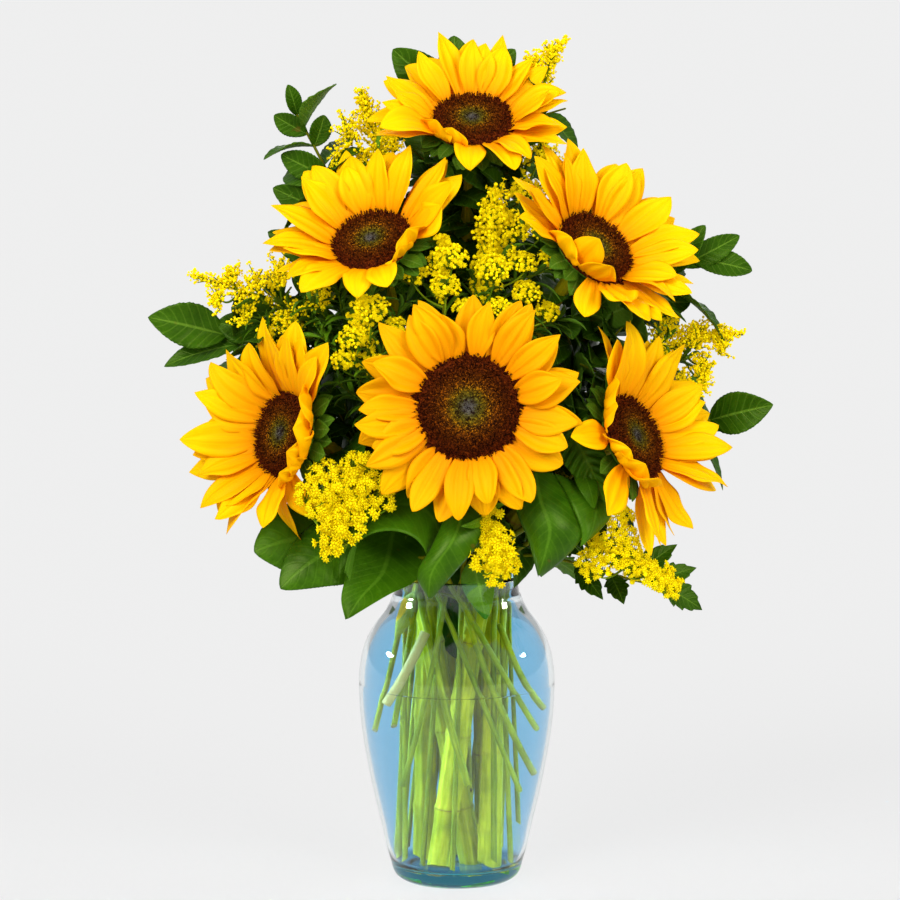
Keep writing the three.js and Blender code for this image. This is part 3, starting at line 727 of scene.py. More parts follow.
# The goldenrod florets glow a little: painted light that brightens them beyond what the lamps give.
FLORET = floret_material("goldenrod_floret", (0.90, 0.66, 0.0), (1.0, 0.84, 0.0), (1.0, 0.88, 0.002),
                         glow=0.12)
FLORET_CUP = floret_material("goldenrod_green", (0.10, 0.20, 0.003), (0.30, 0.42, 0.01),
                             (0.6, 0.65, 0.02))
LEAF = leaf_material("leaf", (0.010, 0.040, 0.001), (0.036, 0.105, 0.002), (0.14, 0.27, 0.02), 0.3)
LEAF_BACK = leaf_material("leaf_back", (0.04, 0.11, 0.006), (0.09, 0.20, 0.012), (0.2, 0.34, 0.05), 0.5)
BROAD = leaf_material("broad_leaf", (0.014, 0.055, 0.001), (0.045, 0.135, 0.002), (0.12, 0.27, 0.015),
                      0.3, veins=13.0, slant=5.0, vein_share=0.3, relief=0.14, shine=0.22)
BROAD_BACK = leaf_material("broad_leaf_back", (0.04, 0.11, 0.006), (0.08, 0.20, 0.01),
                           (0.18, 0.34, 0.04), 0.35, veins=13.0, slant=5.0, vein_share=0.35,
                           relief=0.16)
NARROW = leaf_material("narrow_leaf", (0.03, 0.10, 0.001), (0.10, 0.24, 0.004), (0.2, 0.4, 0.03), 0.3,
                       shine=0.3)

# Where the materials stand in a piece's list: a floret's green, a thin stem, a narrow leaf's two sides,
# and the bracts and the leaves on a sunflower's stem.
CUP_SLOT = 1
STEM_SLOT = 2
NARROW_SLOTS = (3, 4)
BRACT_SLOTS = (1, 1)
HEART_SLOTS = (2, 3)

# ---------- vase and water ----------


def smooth_line(points, count):
    """More points along a line, through all of the given ones."""
    line = vec(points)
    along = lengths(line)
    slope = np.gradient(line, along, axis=0)
    want = np.linspace(0, along[-1], count)
    cell = np.clip(np.searchsorted(along, want) - 1, 0, len(along) - 2)
    width = (along[cell + 1] - along[cell])[:, None]
    t = ((want - along[cell])[:, None]) / width
    a, b, da, db = line[cell], line[cell + 1], slope[cell] * width, slope[cell + 1] * width
    return (a * (2 * t**3 - 3 * t**2 + 1) + b * (3 * t**2 - 2 * t**3)
            + da * (t**3 - 2 * t**2 + t) + db * (t**3 - t**2))


def inner_profile():
    """The inside of the glass as (height, radius), as the construction has it."""
    points = []
    for i, (height, radius) in enumerate(VASE_OUTSIDE):
        z0, r0 = VASE_OUTSIDE[max(0, i - 1)]
        z1, r1 = VASE_OUTSIDE[min(len(VASE_OUTSIDE) - 1, i + 1)]
        length = math.hypot(z1 - z0, r1 - r0)
        wall = COLLAR_WALL if height >= COLLAR_FROM else WALL
        points.append([height + wall * (r1 - r0) / length, radius - wall * (z1 - z0) / length])
    points[-1][0] = RIM_HEIGHT
    return [tuple(p) for p in points if p[0] > FLOOR + 2]


VASE_INSIDE = inner_profile()


def inside_at(height):
    return float(np.interp(height, [z for z, _ in VASE_INSIDE], [r for _, r in VASE_INSIDE]))


def turned(shape, profile, segments, slots=0, axes=np.eye(3), at=(0, 0, 0), tones=0.5):
    """A closed body of revolution from (height, radius) points that start and end on the axis.

    slots has one number for each band between two rings, and tones one for each point, or one for all."""
    profile = vec(profile)
    rings = [ring_points(radius, height, even_angles(segments)) for height, radius in profile[1:-1]]
    bands = len(rings) - 1
    slots = np.broadcast_to(slots, (bands,))
    tones = np.broadcast_to(tones, (len(profile),))
    start = shape.count
    hubs = UP * profile[[0, -1], :1]
    shape.add(np.concatenate([*rings, hubs]) @ axes + at, np.zeros((0, 3), int),
              tone=np.concatenate([np.repeat(tones[1:-1], segments), tones[[0, -1]]]))
    quads = grid_faces(len(rings), segments, loop=True)[:, ::-1].reshape(-1, segments, 4)
    for quad_ring, slot in zip(quads, slots):
        shape.add_faces(quad_ring + start, slot)
    fan = np.arange(segments) + start
    hub = np.full(segments, shape.count - 2)
    last = fan + bands * segments
    shape.add_faces(np.stack([hub, np.roll(fan, -1), fan], axis=-1), slots[0])
    shape.add_faces(np.stack([last, np.roll(last, -1), hub + 1], axis=-1), slots[-1])


VASE_SMOOTH = 96  # segments of the vase as seen
WATER_INTO = 0.35  # the water reaches this far into the glass, so that no film of air is left
FLOOR_RADIUS = inside_at(FLOOR) - FLOOR_EDGE
INSIDE_LINE = [(FLOOR + 1.3, inside_at(FLOOR) - 1.2), *VASE_INSIDE]

# The glass as seen, as (height, radius): the hollow of the foot, the shoulder's end, the slanted ring
# over it, the neck's beginning and the round of the lip.
FOOT_HOLLOW = [(1.6, 0), (1.6, 30), (1.1, 34), (0.2, 37)]
SHOULDER_FROM = 190
SHOULDER_END = (197, 51.2)
RING = [(203, 48.1), (208, 46.4)]
NECK = [(209, 45.3), (214, 44.5), VASE_OUTSIDE[-1]]
LIP = [(RIM_HEIGHT + 0.9, 45.6), (RIM_HEIGHT + 1.2, 44.6), (RIM_HEIGHT + 0.9, 43.5)]


def build_vase():
    """The glass: one closed wall, clear outside and blue inside."""
    body = [p for p in VASE_OUTSIDE if p[0] < SHOULDER_FROM] + [SHOULDER_END, RING[0]]
    outer = [*smooth_line(body, 70), *smooth_line(RING, 6)[1:], *smooth_line(NECK, 14)]
    inner = smooth_line([(FLOOR, FLOOR_RADIUS), *INSIDE_LINE], 64)[::-1]
    profile = [*FOOT_HOLLOW, *outer, *LIP, *inner, (FLOOR, 0)]
    clear_bands = len(FOOT_HOLLOW) + len(outer) + len(LIP) - 2
    shape = Shape()
    turned(shape, profile, VASE_SMOOTH, np.arange(len(profile) - 3) >= clear_bands)
    make_piece("glass_vase", shape, [CLEAR_GLASS, BLUE_GLASS], "vase")


def build_water():
    """The water, with a small rim where its surface climbs the glass."""
    side = [(z, r + WATER_INTO) for z, r in smooth_line(INSIDE_LINE, 64) if z < WATER_LEVEL - 1]
    top = inside_at(WATER_LEVEL)
    rim = [(1.4, inside_at(WATER_LEVEL + 1.4) + WATER_INTO), (1.0, top - 0.5), (0.3, top - 1.6),
           (0, top - 3.4), (0, top - 20), (0, 0)]
    profile = [(FLOOR - WATER_INTO, 0), (FLOOR - WATER_INTO, FLOOR_RADIUS), *side,
               *[(WATER_LEVEL + rise, radius) for rise, radius in rim]]
    shape = Shape()
    turned(shape, profile, VASE_SMOOTH)
    make_piece("vase_water", shape, [WATER], "water")


# ---------- stems ----------


def foot_of(foot, rim, radius):
    """The foot of a stem: standing on the floor, or at its own height against the glass."""
    height = foot[2] if len(foot) > 2 else FLOOR
    at = vec([foot[0], foot[1], height])
    lean = unit(rim - at)
    dip = radius * math.hypot(lean[0], lean[1])
    at[2] = max(height, FLOOR + GAP + dip)
    room = inside_at(at[2] - dip) * math.cos(math.pi / VASE_SEGMENTS) - radius - GAP
    out = math.hypot(foot[0], foot[1])
    if out > room:
        at[:2] *= room / out
    return at


def stem_path(plant, radius, end, arrives, bend):
    """Points from the foot, straight to the rim, then through one bend that arrives along a direction."""
    rim = vec([*plant["rim"], RIM_HEIGHT])
    foot = foot_of(plant["foot"], rim, radius)
    lean = unit(rim - foot)
    reach = np.linalg.norm(rim - end)
    straight = foot + (rim - foot) * np.linspace(0, 1, 24)[:, None]
    bent = bezier([rim, rim + lean * bend[0] * reach, end - arrives * bend[1] * reach, end], 40)
    return np.concatenate([straight, bent[1:]])


SWELL = 1.6  # how much fuller a soft stem is in the water than its plain bar
THICK_TILT, CUT_TILT = 0.45, 0.8  # how slanting the cuts of thick and thin stems are


def build_thick_stem(shape, name, path):
    """A ribbed sunflower stem with leaf scars, thinner towards its bloom."""
    rng = seeded(name)
    path = evenly(path, 170)
    along = lengths(path)
    share = along / along[-1]
    above = np.clip((path[:, 2] - RIM_HEIGHT) / (path[-1, 2] - RIM_HEIGHT), 0, 1)
    radii = SUNFLOWER_STEM + SWELL + (SUNFLOWER_NECK - SUNFLOWER_STEM - SWELL) * above
    radii = radii * (1 + 0.03 * np.sin(share * 19 + rng.uniform(0, 6)))
    marks = np.zeros(len(path))
    for place in rng.uniform(25, 60) + np.arange(6) * 58 + rng.uniform(-9, 9, 6):
        near = np.exp(-((along - place) / 2.6) ** 2)
        radii = radii + 0.9 * near
        marks = np.maximum(marks, 0.55 * np.exp(-((along - place) / 1.1) ** 2))
        if place < along[-1] - 40:
            add_scar(shape, path, along, place, rng)
    add_tube(shape, path, radii, sides=36, tone=rng.uniform(0, 1), mark=marks, ribs=9, rib=0.06,
             turn=rng.uniform(0, 6), ends=("cut", "flat"), tilt=THICK_TILT)


def add_scar(shape, path, along, place, rng):
    """A small stub where a leaf was stripped."""
    row = min(int(np.searchsorted(along, place)), len(path) - 2)
    direction, across, over = frames_along(path[row - 1:row + 2])
    turn = rng.uniform(0, 2 * math.pi)
    out = outward(across[1], over[1], turn)
    base = path[row] + out * (SUNFLOWER_STEM - 1.0)
    tip = base + out * 3.4 + direction[1] * 2.4
    line = bezier([base, base + out * 2.2, tip], 6)
    add_tube(shape, line, [2.4, 2.2, 1.9, 1.7, 1.6, 1.5], sides=10, tone=rng.uniform(0, 1),
             mark=[0, 0, 0, 0.3, 0.5, 0.9], ends=("flat", "cut"))


# ---------- sunflowers ----------


def flower_axes(faces):
    """Rows: the viewer's right, away from the viewer, and the way the bloom faces."""
    facing = unit(vec(faces))
    away = unit(vec([0, 1, 0]) - facing * facing[1])
    return np.array([np.cross(away, facing), away, facing])


def petal_outline(s, widest, point):
    """Half width along a petal, as a share of the widest."""
    return 0.34 * (1 - s) ** 2 + np.sin(math.pi * s ** widest) ** point + 0.02


def petal_grid(rng, base_radius, base_height, turn, length, half, lifts, sway, twist, cup, ruffle=0.1,
               point=(0.75, 0.98), rows=28, columns=17):
    """A petal as a grid of points in its bloom's own axes. lifts are its slopes at base, middle and tip,
    and point is the range of its tip's sharpness."""
    s = np.linspace(0, 1, rows)
    lift = through(*np.radians(lifts), rows)[:, 0]
    heading = math.radians(sway) * s * s
    along = np.stack([np.cos(lift) * np.cos(heading), np.cos(lift) * np.sin(heading), np.sin(lift)], axis=1)
    side = np.stack([-np.sin(heading), np.cos(heading), np.zeros(rows)], axis=1)
    over = np.cross(along, side)
    roll = (math.radians(twist) * s)[:, None]
    side, over = rolled(side, over, roll)
    step = length / (rows - 1)
    centre = np.concatenate([[[0, 0, 0]], np.cumsum((along[1:] + along[:-1]) / 2 * step, axis=0)])
    centre = centre + [base_radius, 0, base_height]
    t = np.linspace(-1, 1, columns)[None, :]
    halves = [half * petal_outline(s, rng.uniform(0.92, 1.3), rng.uniform(*point))
              * (1 + 0.05 * np.sin(s * rng.uniform(5, 9) + rng.uniform(0, 6))) for _ in "ab"]
    width = np.where(t > 0, halves[0][:, None], halves[1][:, None])
    edges = [np.sin(s * rng.uniform(6, 14) + rng.uniform(0, 6))[:, None] * s[:, None] ** 0.6 for _ in "ab"]
    ripple = ruffle * np.where(t > 0, edges[0], edges[1]) * np.abs(t) ** 2.2
    fold = rng.uniform(0.03, 0.09) * np.cos(rng.uniform(2.0, 3.2) * math.pi * t + rng.uniform(-0.8, 0.8))
    hollow = (cup * (1 - 0.6 * s))[:, None]
    rise = hollow * t * t + fold * np.sin(math.pi * s)[:, None] ** 0.7 + ripple
    middle = (halves[0] + halves[1])[:, None] / 2
    grid = (centre[:, None, :] + side[:, None, :] * (width * t)[..., None]
            + over[:, None, :] * (middle * rise)[..., None])
    x_axis = np.array([*on_ring(turn, 1), 0])
    return grid @ np.array([x_axis, np.cross(UP, x_axis), UP])


PETAL_HALF = 0.235  # half width of a petal, as a share of its length
PETAL_SHEET = 0.36  # thickness

# Petals by layer: how many, lift, share of the full length, height of the foot.
PETAL_LAYERS = ((16, 6, 1.0, -0.6), (17, -5, 1.02, -1.9), (4, 12, 0.86, 0.0))

# What the petals nearest the viewer do: how far their base, middle and tip rise, their length and width.
NEAR_PETALS = {
    "center": (0, 0, 0, 1.0, 1.0),
    "top": (4, -8, -26, 0.8, 1.05),
    "upper_left": (4, -8, -38, 0.8, 1.2),
    "upper_right": (6, -6, -32, 0.8, 1.1),
    "left": (10, -20, -40, 0.8, 1.1),
    "right": (10, -20, -40, 0.8, 1.1),
}

# Petals that fold over the disc or hang: turn, slopes at base, middle and tip, length and width as
# shares, twist, sway, and the turn on each side in which no other petal stands.
SPECIAL_PETALS = {
    "top": [(220, 40, 74, 112, 0.46, 1.3, 10, 0, 13), (243, 42, 78, 116, 0.42, 1.25, -10, 0, 12)],
    "upper_left": [(350, 34, 42, 36, 0.72, 1.1, 24, 10, 10), (322, 42, 74, 104, 0.5, 1.3, -14, -12, 13),
                   (302, 40, 66, 84, 0.36, 1.1, 10, 0, 11)],
    "upper_right": [(238, 34, 66, 96, 0.5, 1.2, 14, 0, 12), (261, 60, 88, 106, 0.7, 1.05, 10, -6, 11),
                    (284, 50, 66, 70, 0.66, 1.05, -10, 30, 10), (310, 22, 32, 34, 0.72, 1.15, 12, 8, 10),
                    (291, -12, -24, -8, 0.62, 0.8, 10, 0, 9), (318, 17, 24, 18, 1.02, 1.1, -10, 0, 8),
                    (331, 12, 18, 24, 0.96, 0.9, 12, 0, 8), (213, 28, 18, -6, 0.85, 0.9, 10, 0, 8)],
    "left": [(200, 8, -30, -60, 1.0, 0.8, 30, 0, 8), (222, 12, -34, -80, 0.8, 0.7, -40, 10, 8),
             (238, 24, 60, 112, 0.5, 1.25, 10, 0, 12), (262, 28, 66, 124, 0.54, 1.35, -8, 0, 13),
             (287, 28, 64, 116, 0.56, 1.4, 8, 0, 13), (314, 24, 52, 88, 0.62, 1.3, -12, 0, 12)],
    "right": [(206, 26, 56, 84, 0.6, 1.0, 12, 0, 10), (227, 24, 58, 98, 0.5, 1.0, -10, 0, 11),
              (247, 5, -4, -22, 0.78, 0.85, 8, 0, 8), (272, 24, 60, 110, 0.44, 1.25, 8, 0, 11),
              (293, 26, 64, 120, 0.5, 1.3, -8, 10, 11), (314, 26, 58, 104, 0.56, 1.2, 10, 0, 10),
              (296, -13, -6, -12, 0.86, 0.9, 6, 0, 0), (340, -30, -14, -4, 1.06, 0.72, 14, 0, 8),
              (331, 6, 2, 8, 1.0, 0.66, -16, 0, 8), (355, -26, -16, 6, 1.0, 0.68, 22, 0, 8),
              (4, -10, -16, 4, 0.94, 0.7, -24, 0, 8), (13, -10, -4, 16, 1.02, 0.85, 12, 0, 8)],
}

# How deep the petals' yellow is: the lowest and highest tone. The center bloom's high tones are painted
# shade, darkening the whole bloom as if less light fell on it; the left bloom's range is set deeper than the
# plain one too.
PETAL_TONES_WITH_SHADE = {"center": (0.75, 1.0), "left": (0.1, 0.5)}
PLAIN_TONES = (0.0, 0.25)

# How wide a bloom's petals are.
PETAL_WIDTHS = {"center": 0.95, "top": 0.84, "upper_left": 0.84, "upper_right": 0.84, "left": 0.88,
                "right": 0.92}


def ray_slope(flower, turn):
    """How far a bloom's petals rise at some turn round it, and the sine of that turn."""
    swing = math.sin(math.radians(turn))
    return math.degrees(math.atan(flower["slope"] + flower["swing"] * swing)), swing


def add_petals(shape, name, flower, axes, at):
    """Rings of petals round the disc, with the ones that fold or hang in their own places."""
    rng = seeded(name + "petals")
    disc, rays = flower["disc"], flower["rays"]
    specials = SPECIAL_PETALS.get(name, [])
    low, middle, tip, shorter, wider = NEAR_PETALS[name]
    tones = PETAL_TONES_WITH_SHADE.get(name, PLAIN_TONES)
    for layer, (count, rise, long, foot) in enumerate(PETAL_LAYERS):
        for i in range(count):
            turn = 360 * (i + 0.5 * layer) / count + rng.uniform(-8, 8)
            climb, swing = ray_slope(flower, turn)
            climb += rise + rng.uniform(-7, 7)
            curl = rng.uniform(-34, 24)
            length = long * (rays + 0.12 * disc) * rng.uniform(0.84, 1.05)
            half = PETAL_HALF * PETAL_WIDTHS[name] * rays * rng.uniform(0.85, 1.18)
            sway, twist, cup = rng.uniform(-18, 18), rng.uniform(-30, 30), rng.uniform(-0.05, 0.35)
            share = float(smooth(0.45, 0.85, -swing))
            lifts = [climb + 12 + low * share, climb + 1 + middle * share, climb - 10 + curl + tip * share]
            length *= 1 + (shorter - 1) * share
            half *= 1 + (wider - 1) * share
            crowded = any(turn_between(turn, special[0]) < special[-1] for special in specials)
            doubled = layer > 0 and wider > 1 and share > 0.6
            if crowded or doubled:
                continue
            point = (0.75 - 0.17 * share, 0.98 - 0.2 * share)
            grid = petal_grid(rng, 0.88 * disc, foot, turn, length, half, lifts, sway, twist, cup,
                              rng.uniform(0.05, 0.2), point)
            add_sheet(shape, grid @ axes + at, PETAL_SHEET, tone=rng.uniform(*tones))
    for turn, low, middle, tip, long, wide, twist, sway, _ in specials:
        grid = petal_grid(rng, 0.93 * disc, -1.6, turn, rays * long, PETAL_HALF * rays * wide,
                          (low, middle, tip), sway, twist, 0.12, 0.16, (0.68, 0.95))
        add_sheet(shape, grid @ axes + at, PETAL_SHEET, tone=rng.uniform(*tones))


def disc_height(share):
    """Height of the disc's surface over the ray plane, from its middle to its rim."""
    return 3.6 + 1.5 * np.sin(math.pi * np.clip(share * 1.15, 0, 1)) - 3.4 * smooth(0.82, 1.0, share)


def rings_and_tip(sides, rings, tip, foot=None):
    """Points and faces of a small closed form: rings of (radius, height), a tip, and a foot if given."""
    points = [*[ring_points(r, z, even_angles(sides)) for r, z in rings], [[0, 0, tip]]]
    last = len(rings) * sides
    around = [(j, (j + 1) % sides) for j in range(sides)]
    faces = [[i * sides + j, i * sides + k, (i + 1) * sides + k, (i + 1) * sides + j]
             for i in range(len(rings) - 1) for j, k in around]
    faces += [[last - sides + j, last - sides + k, last, last] for j, k in around]
    if foot is not None:
        points.append([[0, 0, foot]])
        faces += [[last + 1, k, j, j] for j, k in around]
    return np.concatenate(points), np.array(faces)


def template(sides, rings, tip, foot=None):
    """A small form to copy: rings of (radius, height, mark), then a tip and a foot of (height, mark)."""
    ends = [end for end in (tip, foot) if end is not None]
    points, faces = rings_and_tip(sides, [ring[:2] for ring in rings], *[end[0] for end in ends])
    return points, faces, np.append(np.repeat([ring[2] for ring in rings], sides), [end[1] for end in ends])


def open_floret():
    """An open disc floret: a five-sided tube with a fine forked tip."""
    tube = [(0.32, -0.2, 0.0), (0.36, 0.55, 0.0), (0.62, 0.95, 0.55)]
    points, faces, marks = template(5, tube, (0.62, 0.0))
    fork = ring_points(0.13, 0.6, even_angles(5)[[0, 2, 3]])
    fork = np.concatenate([fork, fork * [0.8, 0.8, 1] + [0.1, 0.04, 0.65], [[0.32, 0.12, 1.55]]])
    fork_faces = rings_and_tip(3, [(1, 0), (1, 1)], 1)[1] + len(points)
    return (np.concatenate([points, fork]), np.concatenate([faces, fork_faces]),
            np.append(marks, [0.2] * 3 + [0.9] * 3 + [1.0]))


OPEN_FLORET = open_floret()
CLOSED_FLORET = template(6, [(0.5, -0.2, 0.0), (0.52, 0.4, 0.0), (0.3, 0.85, 0.3)], (1.0, 0.5))
# A disc floret of the rim: broad at its foot, drawn out to a point.
FLAME = template(5, [(0.8, -0.25, 0.0), (1.0, 0.2, 0.2), (0.55, 0.65, 0.6)], (1.0, 0.2))


def add_disc_rim(shape, rng, radius, axes, at):
    """The disc's outermost florets: pointed, close together, leaning out over the petals."""
    for per_radius, low, high, out_at, length in ((1.5, 60, 80, 0.93, 5.4), (1.8, 38, 60, 0.88, 4.6)):
        count = int(per_radius * radius)
        turn = (np.arange(count) + rng.uniform(-0.3, 0.3, count)) * FULL_TURN / count
        lean = np.radians(rng.uniform(low, high, count))
        out = ring_points(1, 0, turn)
        up = out * np.sin(lean)[:, None] + UP * np.cos(lean)[:, None]
        side = unit(np.cross(up, out))
        frames = np.stack([side, np.cross(up, side), up], axis=1)
        places = out * out_at * radius + UP * (disc_height(0.97) - 0.9)
        wide = 3.3 / per_radius * rng.uniform(0.85, 1.15, count)
        sizes = np.column_stack([wide, 0.6 * wide, length * rng.uniform(0.75, 1.15, count)])
        add_copies(shape, FLAME, places @ axes + at, frames @ axes, sizes,
                   rng.uniform(0.86, 1.0, count), glow=0.5)


def build_disc(shape, name, flower, axes, at):
    """A dome of many small florets in a sunflower's spiral, tallest and splayed at its rim."""
    rng = seeded(name + "disc")
    radius = flower["disc"]
    share = np.linspace(0, 1, 22)
    count = int(0.95 * radius * radius)
    profile = [(disc_height(1.0) - 2.6, 0), (disc_height(1.0) - 2.6, 0.96 * radius)]
    profile += [(float(disc_height(s)) - 0.5, float(s) * radius) for s in share[:0:-1]]
    profile += [(float(disc_height(0.0)) - 0.5, 0)]
    turned(shape, profile, 48, axes=axes, at=at, tones=np.clip(vec(profile)[:, 1] / radius, 0, 0.9))
    index = np.arange(count) + 0.5
    spread = np.sqrt(index / count)
    turn = index * GOLDEN_TURN
    spread = np.clip(spread + rng.normal(0, 0.012, count), 0, 1)
    turn = turn + rng.normal(0, 0.02, count) / np.maximum(spread, 0.1)
    places = ring_points(radius * 0.95 * spread, disc_height(spread) - 0.8, turn)
    lean = np.radians(22 * smooth(0.86, 1.0, spread) + 10 * smooth(0.5, 0.86, spread)
                      - 14 * smooth(0.35, 0.0, spread) + rng.normal(0, 13, count))
    around = turn + rng.normal(0, 0.3, count)
    up = ring_points(np.sin(lean), np.cos(lean), around)
    side = unit(np.cross(up, np.column_stack([np.sin(around), -np.cos(around), 0.3 + 0 * around])))
    spin = rng.uniform(0, FULL_TURN, count)[:, None]
    other = np.cross(up, side)
    side, other = rolled(side, other, spin)
    frames = np.stack([side, other, up], axis=1)
    height = 1.5 + 1.9 * smooth(0.42, 0.72, spread) + 0.4 * smooth(0.84, 1.0, spread)
    height = height * rng.uniform(0.65, 1.35, count)
    wide = (0.92 + 0.2 * smooth(0.4, 0.8, spread)) * radius / 38
    sizes = np.column_stack([wide, wide, height])
    tones = np.clip(spread + rng.uniform(-0.06, 0.06, count), 0, 1)
    closed = spread < 0.5 + rng.uniform(-0.05, 0.05, count)
    for form, chosen in ((CLOSED_FLORET, closed), (OPEN_FLORET, ~closed)):
        add_copies(shape, form, places[chosen] @ axes + at, frames[chosen] @ axes, sizes[chosen],
                   tones[chosen], glow=rng.uniform(0.0, 1.0, chosen.sum()) ** 2)
    add_disc_rim(shape, rng, radius, axes, at)


BRACTS = 15  # in each of two rings
BRACT_SHEET = 0.7  # thickness
BRACT_ROOM = 16  # degrees on each side of a petal that dips at its middle, where no bract stands


def build_receptacle(shape, name, flower, axes, at):
    """The green cup behind the rays, with pointed bracts that curve outward."""
    rng = seeded(name + "bracts")
    disc = flower["disc"]
    top = -2.4 - RAY_THICKNESS
    cup = [(1, 0.22), (0.8, 0.46), (0.6, 0.68), (0.38, 0.86)]
    profile = [(-RECEPTACLE - 2, 0), (-RECEPTACLE - 2, 0.15 * disc),
               *[(-depth * RECEPTACLE, wide * disc) for depth, wide in cup],
               (top, 0.95 * disc), (top + 0.8, 0.92 * disc), (top + 0.8, 0)]
    turned(shape, profile, 40, slots=BRACT_SLOTS[0], axes=axes, at=at)
    hanging = [special[0] for special in SPECIAL_PETALS.get(name, []) if special[2] < 0]
    for layer in (0, 1):
        for i in range(BRACTS):
            turn = 360 * (i + 0.5 * layer) / BRACTS + rng.uniform(-6, 6)
            if any(turn_between(turn, other) < BRACT_ROOM for other in hanging):
                continue
            climb = ray_slope(flower, turn)[0] - 10 - 9 * layer
            length = rng.uniform(0.34, 0.46) * flower["rays"]
            half = rng.uniform(5.2, 6.6)
            lifts = (climb - 4, climb - 6, climb - 22 + rng.uniform(-14, 10))
            grid = petal_grid(rng, (0.84 - 0.08 * layer) * disc, top - 0.6 - 2.2 * layer, turn, length,
                              half, lifts, rng.uniform(-14, 14), rng.uniform(-14, 14), 0.2, rows=14,
                              columns=7)
            add_sheet(shape, grid @ axes + at, BRACT_SHEET, tone=rng.uniform(0, 1), slots=BRACT_SLOTS)


def add_heart_leaves(shape, rng, path):
    """The heart-shaped leaves left on a sunflower's stem above the vase."""
    direction, across, over = frames_along(path)
    above = first_above(path, HEART_LEAVES_FROM)
    for i in range(5):
        row = int(above + (len(path) - above) * (0.12 + 0.7 * i / 5))
        turn = i * GOLDEN_TURN + rng.uniform(-0.5, 0.5)
        out = outward(across[row], over[row], turn)
        length = rng.uniform(40, 54)
        faces = unit(direction[row] * 0.7 + UP * 0.4 + rng.normal(0, 0.25, 3))
        tip = path[row] + out * length + direction[row] * length * 0.3
        midrib = arched_midrib(path[row], tip, faces, 34, 0.16, rng.uniform(0.1, 0.4))
        add_leaf(shape, rng, midrib, faces, length * 0.36, slots=HEART_SLOTS, columns=11, widest=0.36,
                 point=0.8, teeth=16, depth=0.08, twist=rng.uniform(-20, 20))


def build_sunflower(name, flower):
    """Three pieces: the stalk with its green parts, the petals and the disc's florets."""
    at, axes = vec(flower["at"]), flower_axes(flower["faces"])
    facing = axes[2]
    back = at - facing * RECEPTACLE
    path = stem_path(flower, SUNFLOWER_STEM, back, facing, THICK_BEND)
    stem = Shape()
    build_thick_stem(stem, name, path)
    build_receptacle(stem, name, flower, axes, at)
    add_heart_leaves(stem, seeded(name + "leaves"), path)
    make_piece(f"sunflower_{name}_stalk", stem, [STEM, BRACT, LEAF, LEAF_BACK],
               f"sunflower_{name}_stem")
    rays = Shape()
    add_petals(rays, name, flower, axes, at)
    make_piece(f"sunflower_{name}_petals", rays, [PETAL, PETAL_BACK],
               f"sunflower_{name}_rays")
    disc = Shape()
    build_disc(disc, name, flower, axes, at)
    make_piece(f"sunflower_{name}_florets", disc, [DISC], f"sunflower_{name}_disc")


# ---------- goldenrod ----------


def star_floret():
    """A tiny open floret: a ring of thin rays, a raised middle and a cup under them."""
    rays, lift = 7, 0.22
    points, faces, marks = [], [], []
    for out in ring_points(1, 0, even_angles(rays)):
        side = np.cross(UP, out) * 0.24
        start = len(points)
        points += [out * 0.12 + side * 0.6, out * 0.12 - side * 0.6, out * 0.65 + side + UP * lift * 0.8,
                   out * 0.65 - side + UP * lift * 0.8, out * 1.0 + UP * lift, out * 0.45 - UP * 0.1]
        a, b, c, d, tip, low = range(start, start + 6)
        faces += [[a, b, d, c], [c, d, tip, tip], [b, a, low, low], [a, c, low, low], [d, b, low, low],
                  [c, tip, low, low], [tip, d, low, low]]
        marks += [0.0, 0.0, 0.6, 0.6, 1.0, 0.0]
    for radius, height, tip, flip, glow in ((0.28, 0.14, 0.52, 1, 0.9), (0.25, 0.12, -0.95, -1, 0.0)):
        start = len(points)
        points += [*ring_points(radius, height, even_angles(5)), UP * tip]
        faces += [[*[start + j, start + (j + 1) % 5][::flip], start + 5, start + 5] for j in range(5)]
        marks += [0.3 * glow] * 5 + [glow]
    return np.array(points), np.array(faces), np.array(marks)


STAR = star_floret()
# A floret that is still closed, a small egg, and a thin straight stalk of unit height and radius.
PLUMP = template(5, [(0.3, -0.6, 0.1), (0.82, 0.0, 0.4), (0.62, 0.55, 0.6)], (0.85, 0.8), (-0.95, 0.0))
STALK = template(4, [(1.0, 0.0, 0.0), (0.8, 0.97, 0.0)], (1.0, 0.0), (-0.01, 0.0))
# How wide a plume is along its height: shares of its height and of its radius.
PLUME_SHAPE = ((0, 0.2, 0.4, 0.6, 0.8, 1), (0.35, 0.9, 1, 0.78, 0.42, 0.12))
# How close the florets of plumes and of side heads are, in their own size, and how their branches lean.
SPRIG_SPACING, SPRIG_LEAN = 1.2, 52
HEAD_SPACING, HEAD_LEAN = 1.5, 64


def random_frames(rng, up):
    """Frames whose third axis is near up, turned at random."""
    up = unit(up)
    side = unit(np.cross(up, rng.normal(size=up.shape)))
    return np.stack([side, np.cross(up, side), up], axis=1)


